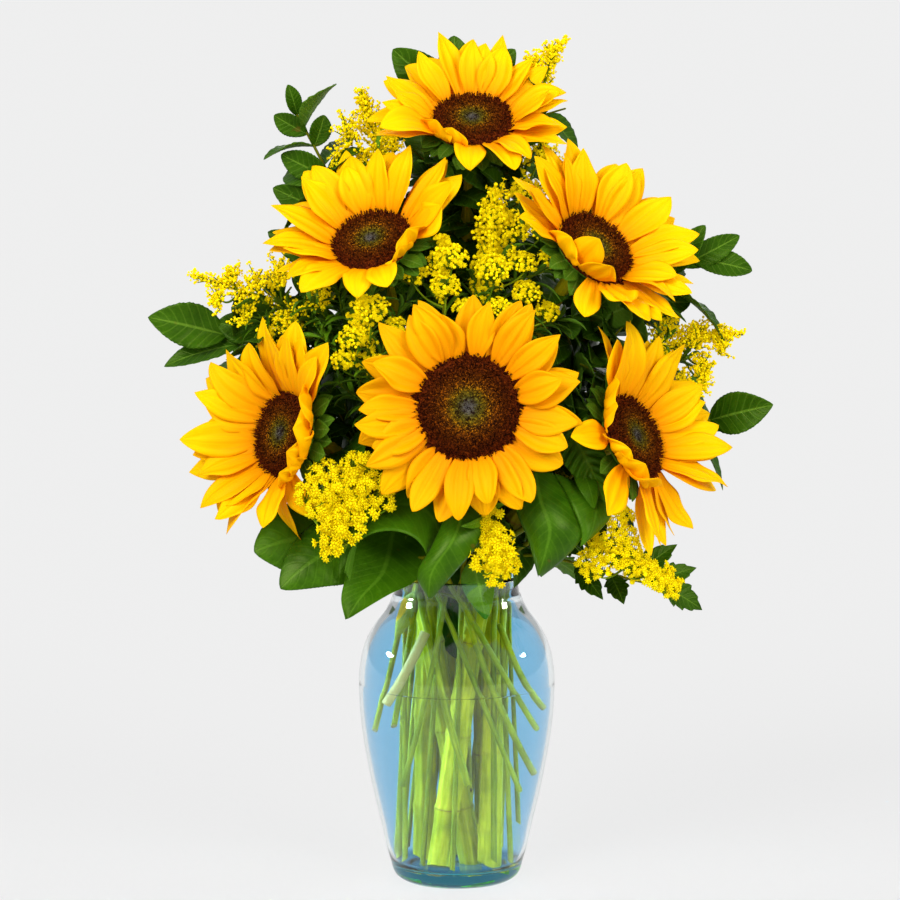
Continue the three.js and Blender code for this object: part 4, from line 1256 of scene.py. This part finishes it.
def add_branchlet(shape, rng, start, direction, length, look, spacing):
    """An arching side branch with florets along its outer part."""
    size = look.size
    rise = rng.uniform(-0.05, 0.2) * length
    end = start + direction * length + UP * rise
    middle = (start + end) / 2 + UP * rng.uniform(-0.02, 0.12) * length
    line = bezier([start, middle, end], 9)
    add_tube(shape, line, np.linspace(0.55, 0.28, 9), sides=5, tone=rng.uniform(0, 1), slot=CUP_SLOT)
    count = max(3, int(length * 0.85 / (spacing * size)))
    share = np.repeat(np.linspace(0.18, 1.0, count), 4)
    share = np.clip(share + rng.uniform(-0.03, 0.03, len(share)), 0.15, 1)
    places = points_at(line, share * lengths(line)[-1])
    out = unit(rng.normal(size=places.shape) * [1, 1, 0.7] + UP * 0.45)
    places = places + out * (rng.uniform(0.5, 2.0, len(places)) * size)[:, None]
    opened = rng.uniform(size=len(places)) < look.openness
    sizes = size * rng.uniform(0.75, 1.15, len(places))
    # A sprig's lowest tone, set high for the sprigs in shade, is painted light.
    tones = look.tone + rng.uniform(0, 1 - look.tone, len(places))
    frames = random_frames(rng, out + direction * 0.3)
    for form, chosen, scale in ((STAR, opened, 1.0), (PLUMP, ~opened, 0.85)):
        if chosen.any():
            add_copies(shape, form, places[chosen], frames[chosen], sizes[chosen] * scale, tones[chosen])


def add_plume(shape, rng, axis, radius_at, branches, look, spacing, lean):
    """Side branches all along an axis, each at a slant to it of about lean degrees, less towards the tip."""
    along, across, over = frames_along(axis)
    for i in range(branches):
        share = 0.02 + 0.96 * (i + rng.uniform(0, 0.6)) / branches
        row = min(int(share * (len(axis) - 1)), len(axis) - 1)
        turn = i * GOLDEN_TURN + rng.uniform(-0.4, 0.4)
        out = outward(across[row], over[row], turn)
        angle = math.radians(lean * (1 - 0.45 * share) + rng.uniform(-10, 10))
        direction = unit(out * math.sin(angle) + along[row] * math.cos(angle))
        reach = radius_at(share) / math.sin(max(angle, 0.35)) * rng.uniform(0.7, 1.05)
        add_branchlet(shape, rng, axis[row], direction, max(3.0, reach), look, spacing)


# The size of a sprig's florets, the share of them that are open, the lowest tone, the side branches of its
# plume and how far they spread, and how far its heads face the viewer, or None for heads that are plumes
# themselves. A higher lowest tone makes the florets lighter; the high ones of middle, middle_left,
# inner_left and front_right are painted light, lifting florets that sit in shade among the blooms.
Sprig = namedtuple("Sprig", "size openness tone branches spread faces")
GOLDENROD_LOOKS = {
    "top_right": Sprig(1.6, 0.25, 0.3, 58, 1.0, None),
    "upper_left": Sprig(1.5, 0.25, 0.2, 60, 0.9, None),
    "middle": Sprig(2.15, 0.6, 0.85, 48, 0.85, 0.7),
    "middle_left": Sprig(2.15, 0.6, 0.85, 22, 0.8, 0.7),
    "left": Sprig(1.5, 0.08, 0.2, 42, 0.55, None),
    "right": Sprig(1.5, 0.08, 0.2, 56, 0.7, None),
    "front_left": Sprig(4.0, 1.0, 0.25, 20, 0.8, 1.2),
    "front": Sprig(3.8, 1.0, 0.25, 16, 0.8, 1.2),
    "front_right": Sprig(3.0, 0.95, 0.9, 34, 0.8, 1.2),
    "inner_left": Sprig(2.15, 0.6, 0.85, 26, 0.8, 0.8),
    "back": Sprig(1.8, 0.35, 0.2, 60, 1.0, None),
}

# Smaller heads on side stalks: middle of each and its radius.
CLUMPS = {
    "middle": [(26, -62, 452, 13), (47, -52, 455, 10), (49, -54, 434, 11), (64, -48, 420, 9),
               (50, -22, 502, 13), (66, -16, 520, 10), (30, -62, 424, 9), (40, -40, 478, 12),
               (58, -34, 478, 11), (27, -44, 488, 10), (66, -36, 456, 9)],
    "middle_left": [(-4, -64, 460, 12), (-8, -64, 440, 11), (6, -64, 424, 9), (-30, -56, 446, 9)],
    "inner_left": [(-60, -70, 424, 12), (-74, -70, 404, 11), (-80, -72, 388, 9), (-44, -64, 410, 9)],
    "left": [(-96, -22, 424, 13), (-118, -28, 402, 13), (-150, -24, 412, 12), (-142, -30, 434, 11),
             (-170, -24, 422, 11), (-160, -22, 440, 9), (-126, -24, 440, 11), (-104, -24, 442, 10),
             (-134, -26, 396, 10)],
    "right": [(146, 8, 378, 13), (150, 12, 400, 12), (176, 4, 372, 11), (162, 2, 358, 11),
              (172, 2, 392, 11), (190, 2, 386, 10), (176, 0, 360, 9), (150, 4, 352, 9)],
    "upper_left": [(-78, 10, 540, 12), (-46, 4, 534, 12), (-66, 2, 520, 11), (-84, 14, 520, 9)],
    "top_right": [(40, 26, 545, 11), (62, 22, 530, 12), (74, 22, 508, 11), (46, 30, 577, 9),
                  (51, 30, 568, 8), (56, 30, 586, 9), (67, 32, 594, 8), (37, 30, 564, 9)],
    "front_left": [(-106, -94, 297, 9), (-99, -100, 287, 8), (-99, -90, 309, 7), (-95, -100, 302, 10),
                   (-83, -102, 297, 10), (-70, -98, 302, 10), (-58, -98, 297, 10), (-50, -96, 291, 8),
                   (-90, -104, 287, 10), (-77, -106, 284, 10), (-63, -104, 285, 9), (-85, -106, 275, 9),
                   (-74, -107, 273, 9), (-87, -107, 264, 8), (-78, -108, 264, 7), (-88, -108, 256, 7),
                   (-72, -88, 316, 10), (-92, -88, 312, 9)],
    "front": [(16, -98, 250, 9), (36, -96, 246, 9), (24, -88, 278, 8), (28, -100, 238, 8),
              (26, -98, 260, 8)],
    "front_right": [(113, -66, 271, 8), (121, -68, 263, 8), (109, -70, 260, 8), (124, -72, 253, 8),
                    (101, -70, 251, 8), (91, -70, 245, 8), (112, -76, 248, 8), (102, -76, 240, 8),
                    (93, -72, 237, 7), (121, -76, 241, 8), (133, -72, 238, 8), (139, -72, 232, 8),
                    (146, -70, 226, 7), (152, -66, 223, 7), (119, -62, 276, 7)],
}


def add_clump(shape, rng, path, axis, centre, radius, look):
    """A small head of florets on its own thin stalk from the sprig."""
    line = np.concatenate([path, axis])
    line = line[first_above(line, HEADS_FROM):]
    start = line[nearest(line, centre - UP * 3 * radius)]
    fan = look.faces is not None
    end = centre + UP * (-0.9 if fan else 0.6) * radius
    bend = (start * 0.35 + centre * 0.65) - UP * (1.3 if fan else 0.9) * radius
    stalk = bezier([start, bend, end], 18)
    add_tube(shape, stalk, np.linspace(1.0, 0.6, 18), sides=6, tone=rng.uniform(0, 1), slot=CUP_SLOT)
    if fan:
        add_fan(shape, rng, end, centre, radius, look)
        return
    head = through(centre - (end - bend) * 0.35, centre - UP * 0.1 * radius, end, 12)
    add_plume(shape, rng, head, lambda s: radius * (1.0 - 0.45 * s), int(8 + 0.9 * radius),
              look, HEAD_SPACING, HEAD_LEAN)


def add_fan(shape, rng, foot, centre, radius, look):
    """A flat-topped head: thin stalks that fan out from one point, with a floret on each."""
    size = look.size
    axis = unit(UP - vec([-0.004 * centre[0], look.faces, 0]))
    across = unit(np.cross(axis, [1, 0, 0]))
    frame = np.array([np.cross(across, axis), across, axis])
    for depth, packed in ((1.0, 2.5), (0.7, 1.3)):
        count = int(packed * (depth * radius / size) ** 2)
        index = np.arange(count) + 0.5
        tilt = np.arccos(1 - index / count * (1 - math.cos(math.radians(84))))
        turn = index * GOLDEN_TURN + rng.normal(0, 0.25, count)
        out = ring_points(np.sin(tilt), np.cos(tilt), turn)
        reach = depth * radius * rng.uniform(0.86, 1.08, count)[:, None]
        places = centre - axis * 0.35 * radius + (out * [1, 1, 0.75] * reach) @ frame
        facing = unit(out @ frame + rng.normal(0, 0.22, (count, 3)))
        # A sprig's lowest tone, set high for the sprigs in shade, is painted light.
        tones = look.tone + rng.uniform(0, 1 - look.tone, count)
        opened = rng.uniform(size=count) < look.openness
        for form, chosen, scale in ((STAR, opened, 1.0), (PLUMP, ~opened, 0.7)):
            if chosen.any():
                sizes = size * scale * rng.uniform(0.82, 1.12, int(chosen.sum()))
                add_copies(shape, form, places[chosen], random_frames(rng, facing[chosen]), sizes,
                           tones[chosen])
        span = places - facing * 0.9 * size - foot
        length = np.linalg.norm(span, axis=1)
        thin = np.full(count, 0.32)
        add_copies(shape, STALK, np.broadcast_to(foot, (count, 3)), random_frames(rng, span),
                   np.column_stack([thin, thin, length]), rng.uniform(0, 1, count), slot=CUP_SLOT)


# Side twigs with narrow leaves: the point where each one ends.
SPRAYS = {
    "left": [(-104, -30, 424), (-84, -34, 432), (-96, -34, 398), (-74, -36, 412), (-110, -26, 384),
             (-124, -20, 420), (-140, -20, 408)],
    "inner_left": [(-58, -44, 438), (-48, -44, 402), (-72, -44, 384), (-44, -46, 376), (-36, -44, 424),
                   (-84, -40, 366), (-54, -50, 352)],
    "middle": [(14, -40, 446), (44, -34, 470), (60, -34, 446), (40, -44, 420), (70, -30, 410)],
    "right": [(140, 8, 372), (150, 6, 392), (164, 10, 378)],
    "upper_left": [(-56, 8, 520), (-70, 10, 500)],
}


def side_line(path, end, drop, bend, count):
    """A line that leaves a stem some way below a point, but above the vase, and bends up to it."""
    above = first_above(path, TWIGS_FROM)
    row = above + int(np.argmin(np.abs(path[above:, 2] - (end[2] - drop))))
    reach = np.linalg.norm(end - path[row])
    return bezier([path[row], path[row] + tangents(path)[row] * bend * reach, end], count)


def add_spray(shape, rng, path, end):
    """A side twig to a point between the blooms, closely set with narrow leaves."""
    line = side_line(path, end, 64, 0.45, 36)
    add_tube(shape, line, np.linspace(1.0, 0.6, 36), sides=6, tone=rng.uniform(0, 1), slot=CUP_SLOT)
    add_stem_leaves(shape, rng, line, line[5, 2], 2.6, 25)


SPRIG_ROWS = 120


def build_goldenrod(name, sprig):
    """A stem with its plume, its side heads, its own narrow leaves and its leafy twigs."""
    rng = seeded("goldenrod " + name)
    look = GOLDENROD_LOOKS[name]
    base, middle, tip = [vec(p) for p in sprig["plume"]]
    arrives = unit(middle - base)
    path = stem_path(sprig, GOLDENROD_STEM, base, arrives, THIN_BEND)
    axis = through(base - arrives * JOIN, middle, tip, 40)
    shape = Shape()
    for *centre, radius in CLUMPS.get(name, []):
        add_clump(shape, rng, path, axis, vec(centre), radius, look)
    line = evenly(np.concatenate([path, axis[2:]]), SPRIG_ROWS)
    thin = np.clip((np.arange(SPRIG_ROWS) - 2 / 3 * SPRIG_ROWS) / (SPRIG_ROWS / 3), 0, 1)
    add_tube(shape, line, GOLDENROD_STEM * (1 - 0.72 * thin), sides=10, tone=rng.uniform(0, 1),
             slot=STEM_SLOT, ribs=5, rib=0.06, ends=("cut", "sharp"), tilt=CUT_TILT)
    radius = sprig["radius"] * look.spread
    add_plume(shape, rng, axis, lambda s: radius * float(np.interp(s, *PLUME_SHAPE)), look.branches,
              look, SPRIG_SPACING, SPRIG_LEAN)
    add_stem_leaves(shape, rng, path, SPRIG_LEAVES_FROM, 7, 32)
    for twig_end in SPRAYS.get(name, []):
        add_spray(shape, rng, path, vec(twig_end))
    make_piece(f"goldenrod_{name}_sprig", shape, [FLORET, FLORET_CUP, THIN_STEM, NARROW, LEAF_BACK],
               f"goldenrod_{name}")


def add_stem_leaves(shape, rng, path, lowest, spacing, size):
    """Narrow leaves up a stem, a spiral of them from a height on."""
    along = lengths(path)
    direction, across, over = frames_along(path)
    first = along[first_above(path, lowest)]
    for i, place in enumerate(np.arange(first, along[-1], spacing)):
        row = min(int(np.searchsorted(along, place)), len(path) - 1)
        turn = i * GOLDEN_TURN + rng.uniform(-0.5, 0.5)
        out = outward(across[row], over[row], turn)
        length = size * rng.uniform(0.75, 1.25)
        droop = UP * length * rng.uniform(0, 0.35)
        tip = path[row] + out * length * 0.75 + direction[row] * length * 0.55 - droop
        bend = path[row] + out * length * 0.4 + direction[row] * length * 0.5
        add_leaf(shape, rng, bezier([path[row], bend, tip], 14), unit(direction[row] + UP * 0.3),
                 length * 0.085, slots=NARROW_SLOTS, columns=5, cup=0.5, waves=0)


# ---------- leaves ----------


def leaf_outline(s, widest, point):
    """Half width along a leaf, as a share of the widest."""
    bent = s ** (math.log(0.5) / math.log(widest))
    return np.sin(math.pi * bent) ** point + 0.02


def leaf_grid(rng, midrib, faces, half, columns=13, cup=0.25, widest=0.42, point=0.9, teeth=0, depth=0.05,
              waves=7, wave=0.03, twist=0.0, roll=0.0):
    """A leaf as a grid of points over its midrib, with its veins' quilting and toothed edges.

    roll bends both halves away from the upper side, in radians at the edge."""
    rows = len(midrib)
    s = np.linspace(0, 1, rows)
    along = tangents(midrib)
    side = unit(np.cross(along, faces))
    over = np.cross(side, along)
    side, over = rolled(side, over, (math.radians(twist) * (s - 0.2))[:, None])
    t = np.linspace(-1, 1, columns)[None, :]
    width = half * leaf_outline(s, widest, point)[:, None]
    if teeth:
        saw = np.mod(s * teeth, 1.0)
        width = width * (1 + depth * (saw[:, None] - 0.5) * np.abs(t) ** 3)
    quilt = 0
    if waves:
        quilt = np.cos(FULL_TURN * (s[:, None] * waves - np.abs(t) * 1.6)) * np.minimum(np.abs(t) * 3, 1)
    ruffle = 0.05 * np.sin(s * rng.uniform(6, 11) + rng.uniform(0, 6))[:, None] * t * np.abs(t)
    rise = cup * np.abs(t) ** 1.6 + wave * quilt + ruffle
    bend = roll + 1e-4
    flat = np.sin(bend * t) / bend
    rise = rise - (1 - np.cos(bend * t)) / bend
    return (midrib[:, None, :] + side[:, None, :] * (-width * flat)[..., None]
            + over[:, None, :] * (width * rise)[..., None])


def add_leaf(shape, rng, midrib, faces, half, slots=(0, 1), thickness=0.5, tone=None, **options):
    grid = leaf_grid(rng, midrib, faces, half, **options)
    add_sheet(shape, grid, thickness, tone=rng.uniform(0, 1) if tone is None else tone, slots=slots)


def arched_midrib(base, tip, faces, rows, arch=LEAF_ARCH, droop=0.0):
    """A leaf's midrib with a short stalk, arched towards its upper side."""
    length = np.linalg.norm(tip - base)
    middle = (base + tip) / 2 + faces * arch * length
    return bezier([base, middle, tip - UP * droop * length], rows)


# Where a branch's leaves are widest, how pointed they are, their teeth and the depth of these, how many
# more leaves than the named ones the branch has, and how long those are.
Leafing = namedtuple("Leafing", "widest point teeth depth extra size")
LEAF_LOOKS = {
    "left": Leafing(0.45, 0.85, 26, 0.05, 14, 46),
    "upper_left": Leafing(0.5, 0.7, 14, 0.06, 22, 38),
    "top": Leafing(0.45, 0.7, 20, 0.04, 26, 46),
    "right_upper": Leafing(0.5, 0.7, 14, 0.06, 22, 44),
    "right": Leafing(0.42, 0.85, 26, 0.05, 16, 46),
    "low_right": Leafing(0.45, 1.15, 5, 0.3, 0, 28),
    "back_left": Leafing(0.42, 0.85, 22, 0.05, 20, 50),
    "back_right": Leafing(0.42, 0.85, 22, 0.05, 20, 50),
}
GREEN_ROWS = 110


def build_green(name, branch):
    """A branch with its named leaves, more leaves between them and its twigs."""
    rng = seeded("green " + name)
    look = LEAF_LOOKS[name]._asdict()
    extra, size = look.pop("extra"), look.pop("size")
    end = vec(branch["end"])
    arrives = unit([end[0], end[1], GREEN_CLIMB * (end[2] - RIM_HEIGHT)])
    path = evenly(stem_path(branch, GREEN_STEM, end, arrives, THIN_BEND), GREEN_ROWS)
    shape = Shape()
    add_tube(shape, path, GREEN_STEM * np.linspace(1.1, 0.6, GREEN_ROWS), sides=10,
             tone=rng.uniform(0, 1), slot=STEM_SLOT, ends=("cut", "sharp"), tilt=CUT_TILT)
    for place, tip, half, faces in branch["leaves"]:
        base = path[int(place * LAST_LEAF * (GREEN_ROWS - 1))]
        tip, faces = vec(tip), unit(vec(faces))
        add_leaf(shape, rng, arched_midrib(base, tip, faces, 44), faces, half,
                 twist=rng.uniform(-12, 12), **look)
    add_leaves_along(shape, rng, path, BRANCH_LEAVES_FROM, extra, size, look)
    for twig_end in TWIGS.get(name, []):
        add_twig(shape, rng, path, vec(twig_end), look)
    make_piece(f"green_{name}_branch", shape, [LEAF, LEAF_BACK, THIN_STEM], f"green_{name}")


# Side twigs that fill the bouquet between the blooms: the point where each one ends.
TWIG_LEAVES = 9
TWIG_LEAF = 40
TWIGS = {
    "left": [(-92, -16, 428), (-80, -26, 350), (-96, -26, 290), (-112, -10, 388), (-88, -6, 346),
             (-110, -20, 306), (-118, -14, 432), (-98, -30, 320)],
    "upper_left": [(-104, 8, 512), (-70, 0, 462), (-92, 6, 470)],
    "top": [(-6, 6, 476), (44, 4, 440), (26, 24, 540), (-48, -4, 440), (70, 30, 524), (-20, 0, 420),
            (34, 0, 400), (8, -8, 262), (-6, 10, 512), (30, 14, 505), (-34, 6, 530), (56, 34, 546),
            (44, 10, 490), (44, 18, 468), (60, 18, 452), (30, 12, 436), (78, 36, 556)],
    "right_upper": [(118, -6, 402), (70, -8, 414), (140, 0, 440), (60, 0, 440)],
    "right": [(88, -22, 378), (118, -18, 290), (78, -30, 318), (96, -16, 340), (92, -24, 282),
              (92, -10, 356)],
    "back_left": [(-36, -8, 266), (-60, -4, 300), (-40, 0, 360), (-30, 22, 466), (-84, 12, 416)],
    "back_right": [(52, -4, 262), (60, -6, 300), (34, 0, 350), (58, 22, 474), (42, 24, 446), (84, 10, 432),
                   (88, 6, 362), (64, 0, 408)],
}


def add_leaves_along(shape, rng, path, lowest, count, size, look):
    """Leaves in turn along the part of a branch over some height, each facing out of the bouquet."""
    direction, across, over = frames_along(path)
    above = first_above(path, lowest)
    for i in range(count):
        row = int(above + (len(path) - 2 - above) * (i + 0.5) / count)
        turn = i * GOLDEN_TURN + rng.uniform(-0.5, 0.5)
        out = outward(across[row], over[row], turn)
        length = size * rng.uniform(0.8, 1.2)
        from_middle = unit(vec([path[row, 0] * 0.6, path[row, 1] - 25, 0]))
        faces = unit(direction[row] * 0.4 + UP * 0.5 + from_middle * 0.8 + rng.normal(0, 0.35, 3))
        tip = path[row] + out * length + direction[row] * length * 0.35
        midrib = arched_midrib(path[row], tip, faces, 26, 0.14, rng.uniform(0, 0.3))
        add_leaf(shape, rng, midrib, faces, length * 0.3, columns=9, twist=rng.uniform(-30, 30), **look)


def add_twig(shape, rng, path, end, look):
    """A side twig from the branch to a point between the blooms, with leaves along it."""
    line = side_line(path, end, 60, 0.4, 30)
    add_tube(shape, line, np.linspace(1.1, 0.7, 30), sides=7, tone=rng.uniform(0, 1), slot=STEM_SLOT,
             ends=("flat", "sharp"))
    add_leaves_along(shape, rng, line, line[4, 2], TWIG_LEAVES, TWIG_LEAF, look)


PLAIN_BLADES = ("left", "back_left", "back_right")  # broad leaves whose first blade is one plain bend
PLAIN_ROLL = 0.6
FOLD = [(68, -66, 306), (81, -88, 284), (87, -94, 265)]  # where the looped leaf at the right turns over

# Leaves that fold or roll, as patches between two edges: left edge, right edge, how far the patch
# bulges and towards what, and its tone. Each edge runs down to the leaf's tip.
PATCHES = {
    "front_left": [
        ([(-79, -98, 240), (-74, -100, 257), (-62, -100, 267), (-45, -99, 270), (-28, -96, 263),
          (-21, -93, 251), (-27, -90, 231)],
         [(-75, -92, 233), (-68, -80, 264), (-57, -66, 282), (-38, -52, 294), (-18, -50, 292),
          (-5, -58, 274), (-9, -68, 250)], 4, (0, -0.3, 1), 0.9),
        # The flap under the roof has a low tone: painted shade where the roof hangs over it.
        ([(-70, -58, 264), (-78, -86, 236), (-81, -98, 220), (-78, -104, 208)],
         [(-18, -40, 266), (-29, -78, 231), (-48, -95, 224), (-75, -103, 209)], -4, (0.2, -1, 0.3), 0.3)],
    "front": [
        ([(-7, -84, 281), (-18, -96, 258), (-28, -98, 238), (-20, -96, 221)],
         [(21, -80, 286), (16, -94, 262), (-1, -99, 241), (-18, -96, 221)], 9, (-0.3, -1, 0.4), 0.5)],
    "right": [
        ([(45, -62, 304), (41, -82, 285), (50, -92, 261), (57, -92, 236)],
         [*FOLD, (77, -93, 251), (59, -92, 236)], 13, (-0.2, -1, 0.5), 0.1),
        (FOLD + [(86, -94, 258)],
         [(92, -60, 294), (108, -66, 287), (108, -72, 276), (99, -80, 266), (88, -92, 259)],
         7, (0.6, -1, 0.3), 0.9)],
}

# More blades on the same stalks: midrib, half width, the way the upper side faces, and what is special.
MORE_BLADES = {
    "left": [([(-46, -44, 250), (-88, -80, 266), (-124, -82, 226)], 27, (-0.2, -1, 0.35),
              dict(roll=PLAIN_ROLL))],
    "front": [([(10, -34, 238), (16, -44, 226), (20, -38, 196)], 12, (0.1, -1, 0.1),
               dict(roll=0.5, slots=(1, 1), tone=1.0)),
              ([(-28, -20, 214), (-33, -27, 204), (-43, -30, 180)], 7, (-0.3, -1, 0.1),
               dict(roll=0.8, slots=(2, 2), tone=0.0))],
    "back_left": [([(-10, 6, 236), (-4, 2, 206), (0, 4, 160)], 22, (0, -1, 0), dict(roll=0.4, tone=0.0))],
    "right": [([(70, -50, 344), (88, -76, 330), (104, -76, 286)], 16, (0.1, -1, 0.3),
               dict(roll=0.4, wave=0.10, waves=12)),
              ([(86, -62, 308), (92, -84, 306), (96, -88, 284)], 8, (0.3, -1, 0.3),
               dict(roll=0.5, tone=1.0))],
}

# Cut shoots in the vase, with the front leaf's stalk: the line, radius, tone, and mark as a stem has it.
SHOOTS = {"front": [
    ([(4, -30, 216), (12, -42, 165), (54, -16, 80)], 2.4, 0.2, 0.0),
    ([(30, -20, 190), (46, -24, 146), (61, -10, 127)], 2.4, 0.4, 0.0),
    ([(-26, -26, 214), (-12, -42, 140), (8, -44, 78)], 2.6, 0.0, 0.0),
    ([(-8, -32, 212), (-18, -48, 150), (-38, -40, 76)], 2.0, 1.0, 0.0),
    ([(-22, -36, 186), (-34, -42, 160), (-49, -36, 135)], 3.4, 0.0, 2.0),
]}
BLADE_SHEET = 0.6  # thickness
BLADE = dict(columns=29, cup=0.1, widest=0.45, point=0.7, teeth=34, depth=0.03, waves=13, wave=0.005,
             thickness=BLADE_SHEET)


def patch_grid(left, right, bulge, towards):
    """A leaf's blade between two edges, bulged towards one side."""
    rows, columns = 44, 23
    a, b = smooth_line(left, rows), smooth_line(right, rows)
    u = np.linspace(0, 1, columns)[None, :, None]
    s = np.linspace(0, 1, rows)[:, None, None]
    swell = np.maximum(np.sin(math.pi * u), 0) ** 0.8 * np.sin(math.pi * (0.1 + 0.85 * s)) ** 0.6
    return a[:, None] * (1 - u) + b[:, None] * u + bulge * swell * unit(vec(towards))


def build_broad_leaf(name, leaf):
    """A stalk with one or more broad blades: bent, folded or rolled."""
    rng = seeded("broad " + name)
    base, bend, tip = [vec(p) for p in leaf["midrib"]]
    arrives = unit(bend - base)
    path = evenly(stem_path(leaf, BROAD_STALK, base, arrives, THIN_BEND), 90)
    shape = Shape()
    add_tube(shape, path, BROAD_STALK, sides=12, tone=rng.uniform(0, 1), slot=STEM_SLOT,
             ends=("cut", "sharp"), tilt=CUT_TILT)
    blades = []
    if name in PLAIN_BLADES:
        midrib = [base - arrives * JOIN, bend, tip]
        blades.append((midrib, leaf["half"], leaf["faces"], dict(roll=PLAIN_ROLL)))
    for left, right, bulge, towards, tone in PATCHES.get(name, []):
        grid = patch_grid(left, right, bulge, towards)
        add_sheet(shape, grid, BLADE_SHEET, tone=tone)
        blade = grid.reshape(-1, 3)
        join = blade[nearest(blade, path[-1])]
        stub = bezier([path[-3], (path[-1] + join) / 2, join], 12)
        add_tube(shape, stub, 1.4, sides=8, slot=STEM_SLOT)
    for line, radius, tone, mark in SHOOTS.get(name, []):
        add_tube(shape, bezier(line, 60), radius, sides=14, tone=tone, mark=mark, slot=STEM_SLOT,
                 ribs=5, rib=0.06, ends=("flat", "cut"))
    for more in MORE_BLADES.get(name, []):
        foot = vec(more[0][0])
        start = path[nearest(path, foot - UP * 20)]
        stalk = bezier([start, (start + foot) / 2 + UP * 6, foot], 14)
        add_tube(shape, stalk, np.linspace(1.8, 1.1, 14), sides=8, tone=rng.uniform(0, 1), slot=STEM_SLOT)
        blades.append(more)
    for midrib, half, faces, special in blades:
        add_leaf(shape, rng, bezier(midrib, 70), unit(vec(faces)), half, **{**BLADE, **special})
    make_piece(f"broad_leaf_{name}_blade", shape, [BROAD, BROAD_BACK, THIN_STEM],
               f"broad_leaf_{name}")


# ---------- stage, light and camera ----------


def build_stage():
    """A wide pale floor under the vase."""
    reach, steps = 40.0, 9
    line = np.linspace(-reach, reach, steps)
    x, y = np.meshgrid(line, line, indexing="ij")
    points = np.stack([x, y, np.full_like(x, -0.0002)], axis=-1).reshape(-1, 3)
    mesh = bpy.data.meshes.new("floor")
    mesh.from_pydata(points.tolist(), [], grid_faces(steps, steps).tolist())
    floor = bpy.data.objects.new("floor", mesh)
    bpy.context.scene.collection.objects.link(floor)
    floor.data.materials.append(floor_material())


# Soft even lights by name: strength, and the way from the bouquet to the light. Then the small lamps
# that mirror in the glass, with where they hang.
SUNS = {"key_left": (3.0, (-0.7, -1.0, 0.8)), "key_right": (2.3, (0.9, -1.0, 0.65)),
        "back": (0.9, (0.2, 1.0, 0.7))}
SUN_ANGLE = 32
GLINTS = {"glint_left": (-2.1, 0.15, 0.8), "glint_right": (2.1, 0.15, 0.8)}
GLINT_AIM = (0, 0, 0.2)
GLINT_SIZE = (0.4, 0.14)
GLINT_POWER = 160
GLINT_COLOUR = (1.0, 0.985, 0.96)
STUDIO_COLOUR = (0.98, 0.99, 1.0, 1)
STUDIO_LIGHT = 0.5

CAMERA_AT = (-0.0049, -3.2, 0.76)
CAMERA_DOWN = 7.95  # degrees
CAMERA_LENS = 179.84


def add_lamp(name, kind, power, towards):
    """A lamp that shines from one side. towards points from the bouquet to the light."""
    data = bpy.data.lights.new(name, kind)
    data.energy = power
    lamp = bpy.data.objects.new(name, data)
    bpy.context.scene.collection.objects.link(lamp)
    lamp.rotation_euler = Vector(towards).to_track_quat("Z", "Y").to_euler()
    return lamp


def build_light():
    world = bpy.data.worlds.new("studio")
    world.use_nodes = True
    background = world.node_tree.nodes["Background"]
    background.inputs[0].default_value = STUDIO_COLOUR
    background.inputs[1].default_value = STUDIO_LIGHT
    bpy.context.scene.world = world
    for name, (strength, towards) in SUNS.items():
        add_lamp(name, "SUN", strength, towards).data.angle = math.radians(SUN_ANGLE)
    for name, place in GLINTS.items():
        lamp = add_lamp(name, "AREA", GLINT_POWER, Vector(place) - Vector(GLINT_AIM))
        lamp.location = place
        lamp.data.shape = "ELLIPSE"
        lamp.data.size, lamp.data.size_y = GLINT_SIZE
        lamp.data.color = GLINT_COLOUR


def link_lights():
    """Only the small lamps light the glass and the water and mirror in them, and they light nothing else."""
    for names, state in ((SUNS, "EXCLUDE"), (GLINTS, "INCLUDE")):
        for name in names:
            receivers = bpy.data.collections.new(name + "_receivers")
            for piece in ("glass_vase", "vase_water"):
                receivers.objects.link(bpy.data.objects[piece])
            for link in receivers.collection_objects:
                link.light_linking.link_state = state
            bpy.data.objects[name].light_linking.receiver_collection = receivers


def build_camera():
    data = bpy.data.cameras.new("camera")
    data.sensor_width = 36.0
    data.lens = CAMERA_LENS
    camera = bpy.data.objects.new("camera", data)
    camera.location = CAMERA_AT
    camera.rotation_euler = (math.radians(90 - CAMERA_DOWN), 0, 0)
    bpy.context.scene.collection.objects.link(camera)
    bpy.context.scene.camera = camera
    bpy.context.scene.view_settings.view_transform = "Standard"


build_stage()
build_light()
build_camera()
build_vase()
build_water()
for name, flower in SUNFLOWERS.items():
    build_sunflower(name, flower)
for name, sprig in GOLDENRODS.items():
    build_goldenrod(name, sprig)
for name, branch in GREENS.items():
    build_green(name, branch)
for name, leaf in BROAD_LEAVES.items():
    build_broad_leaf(name, leaf)
link_lights()
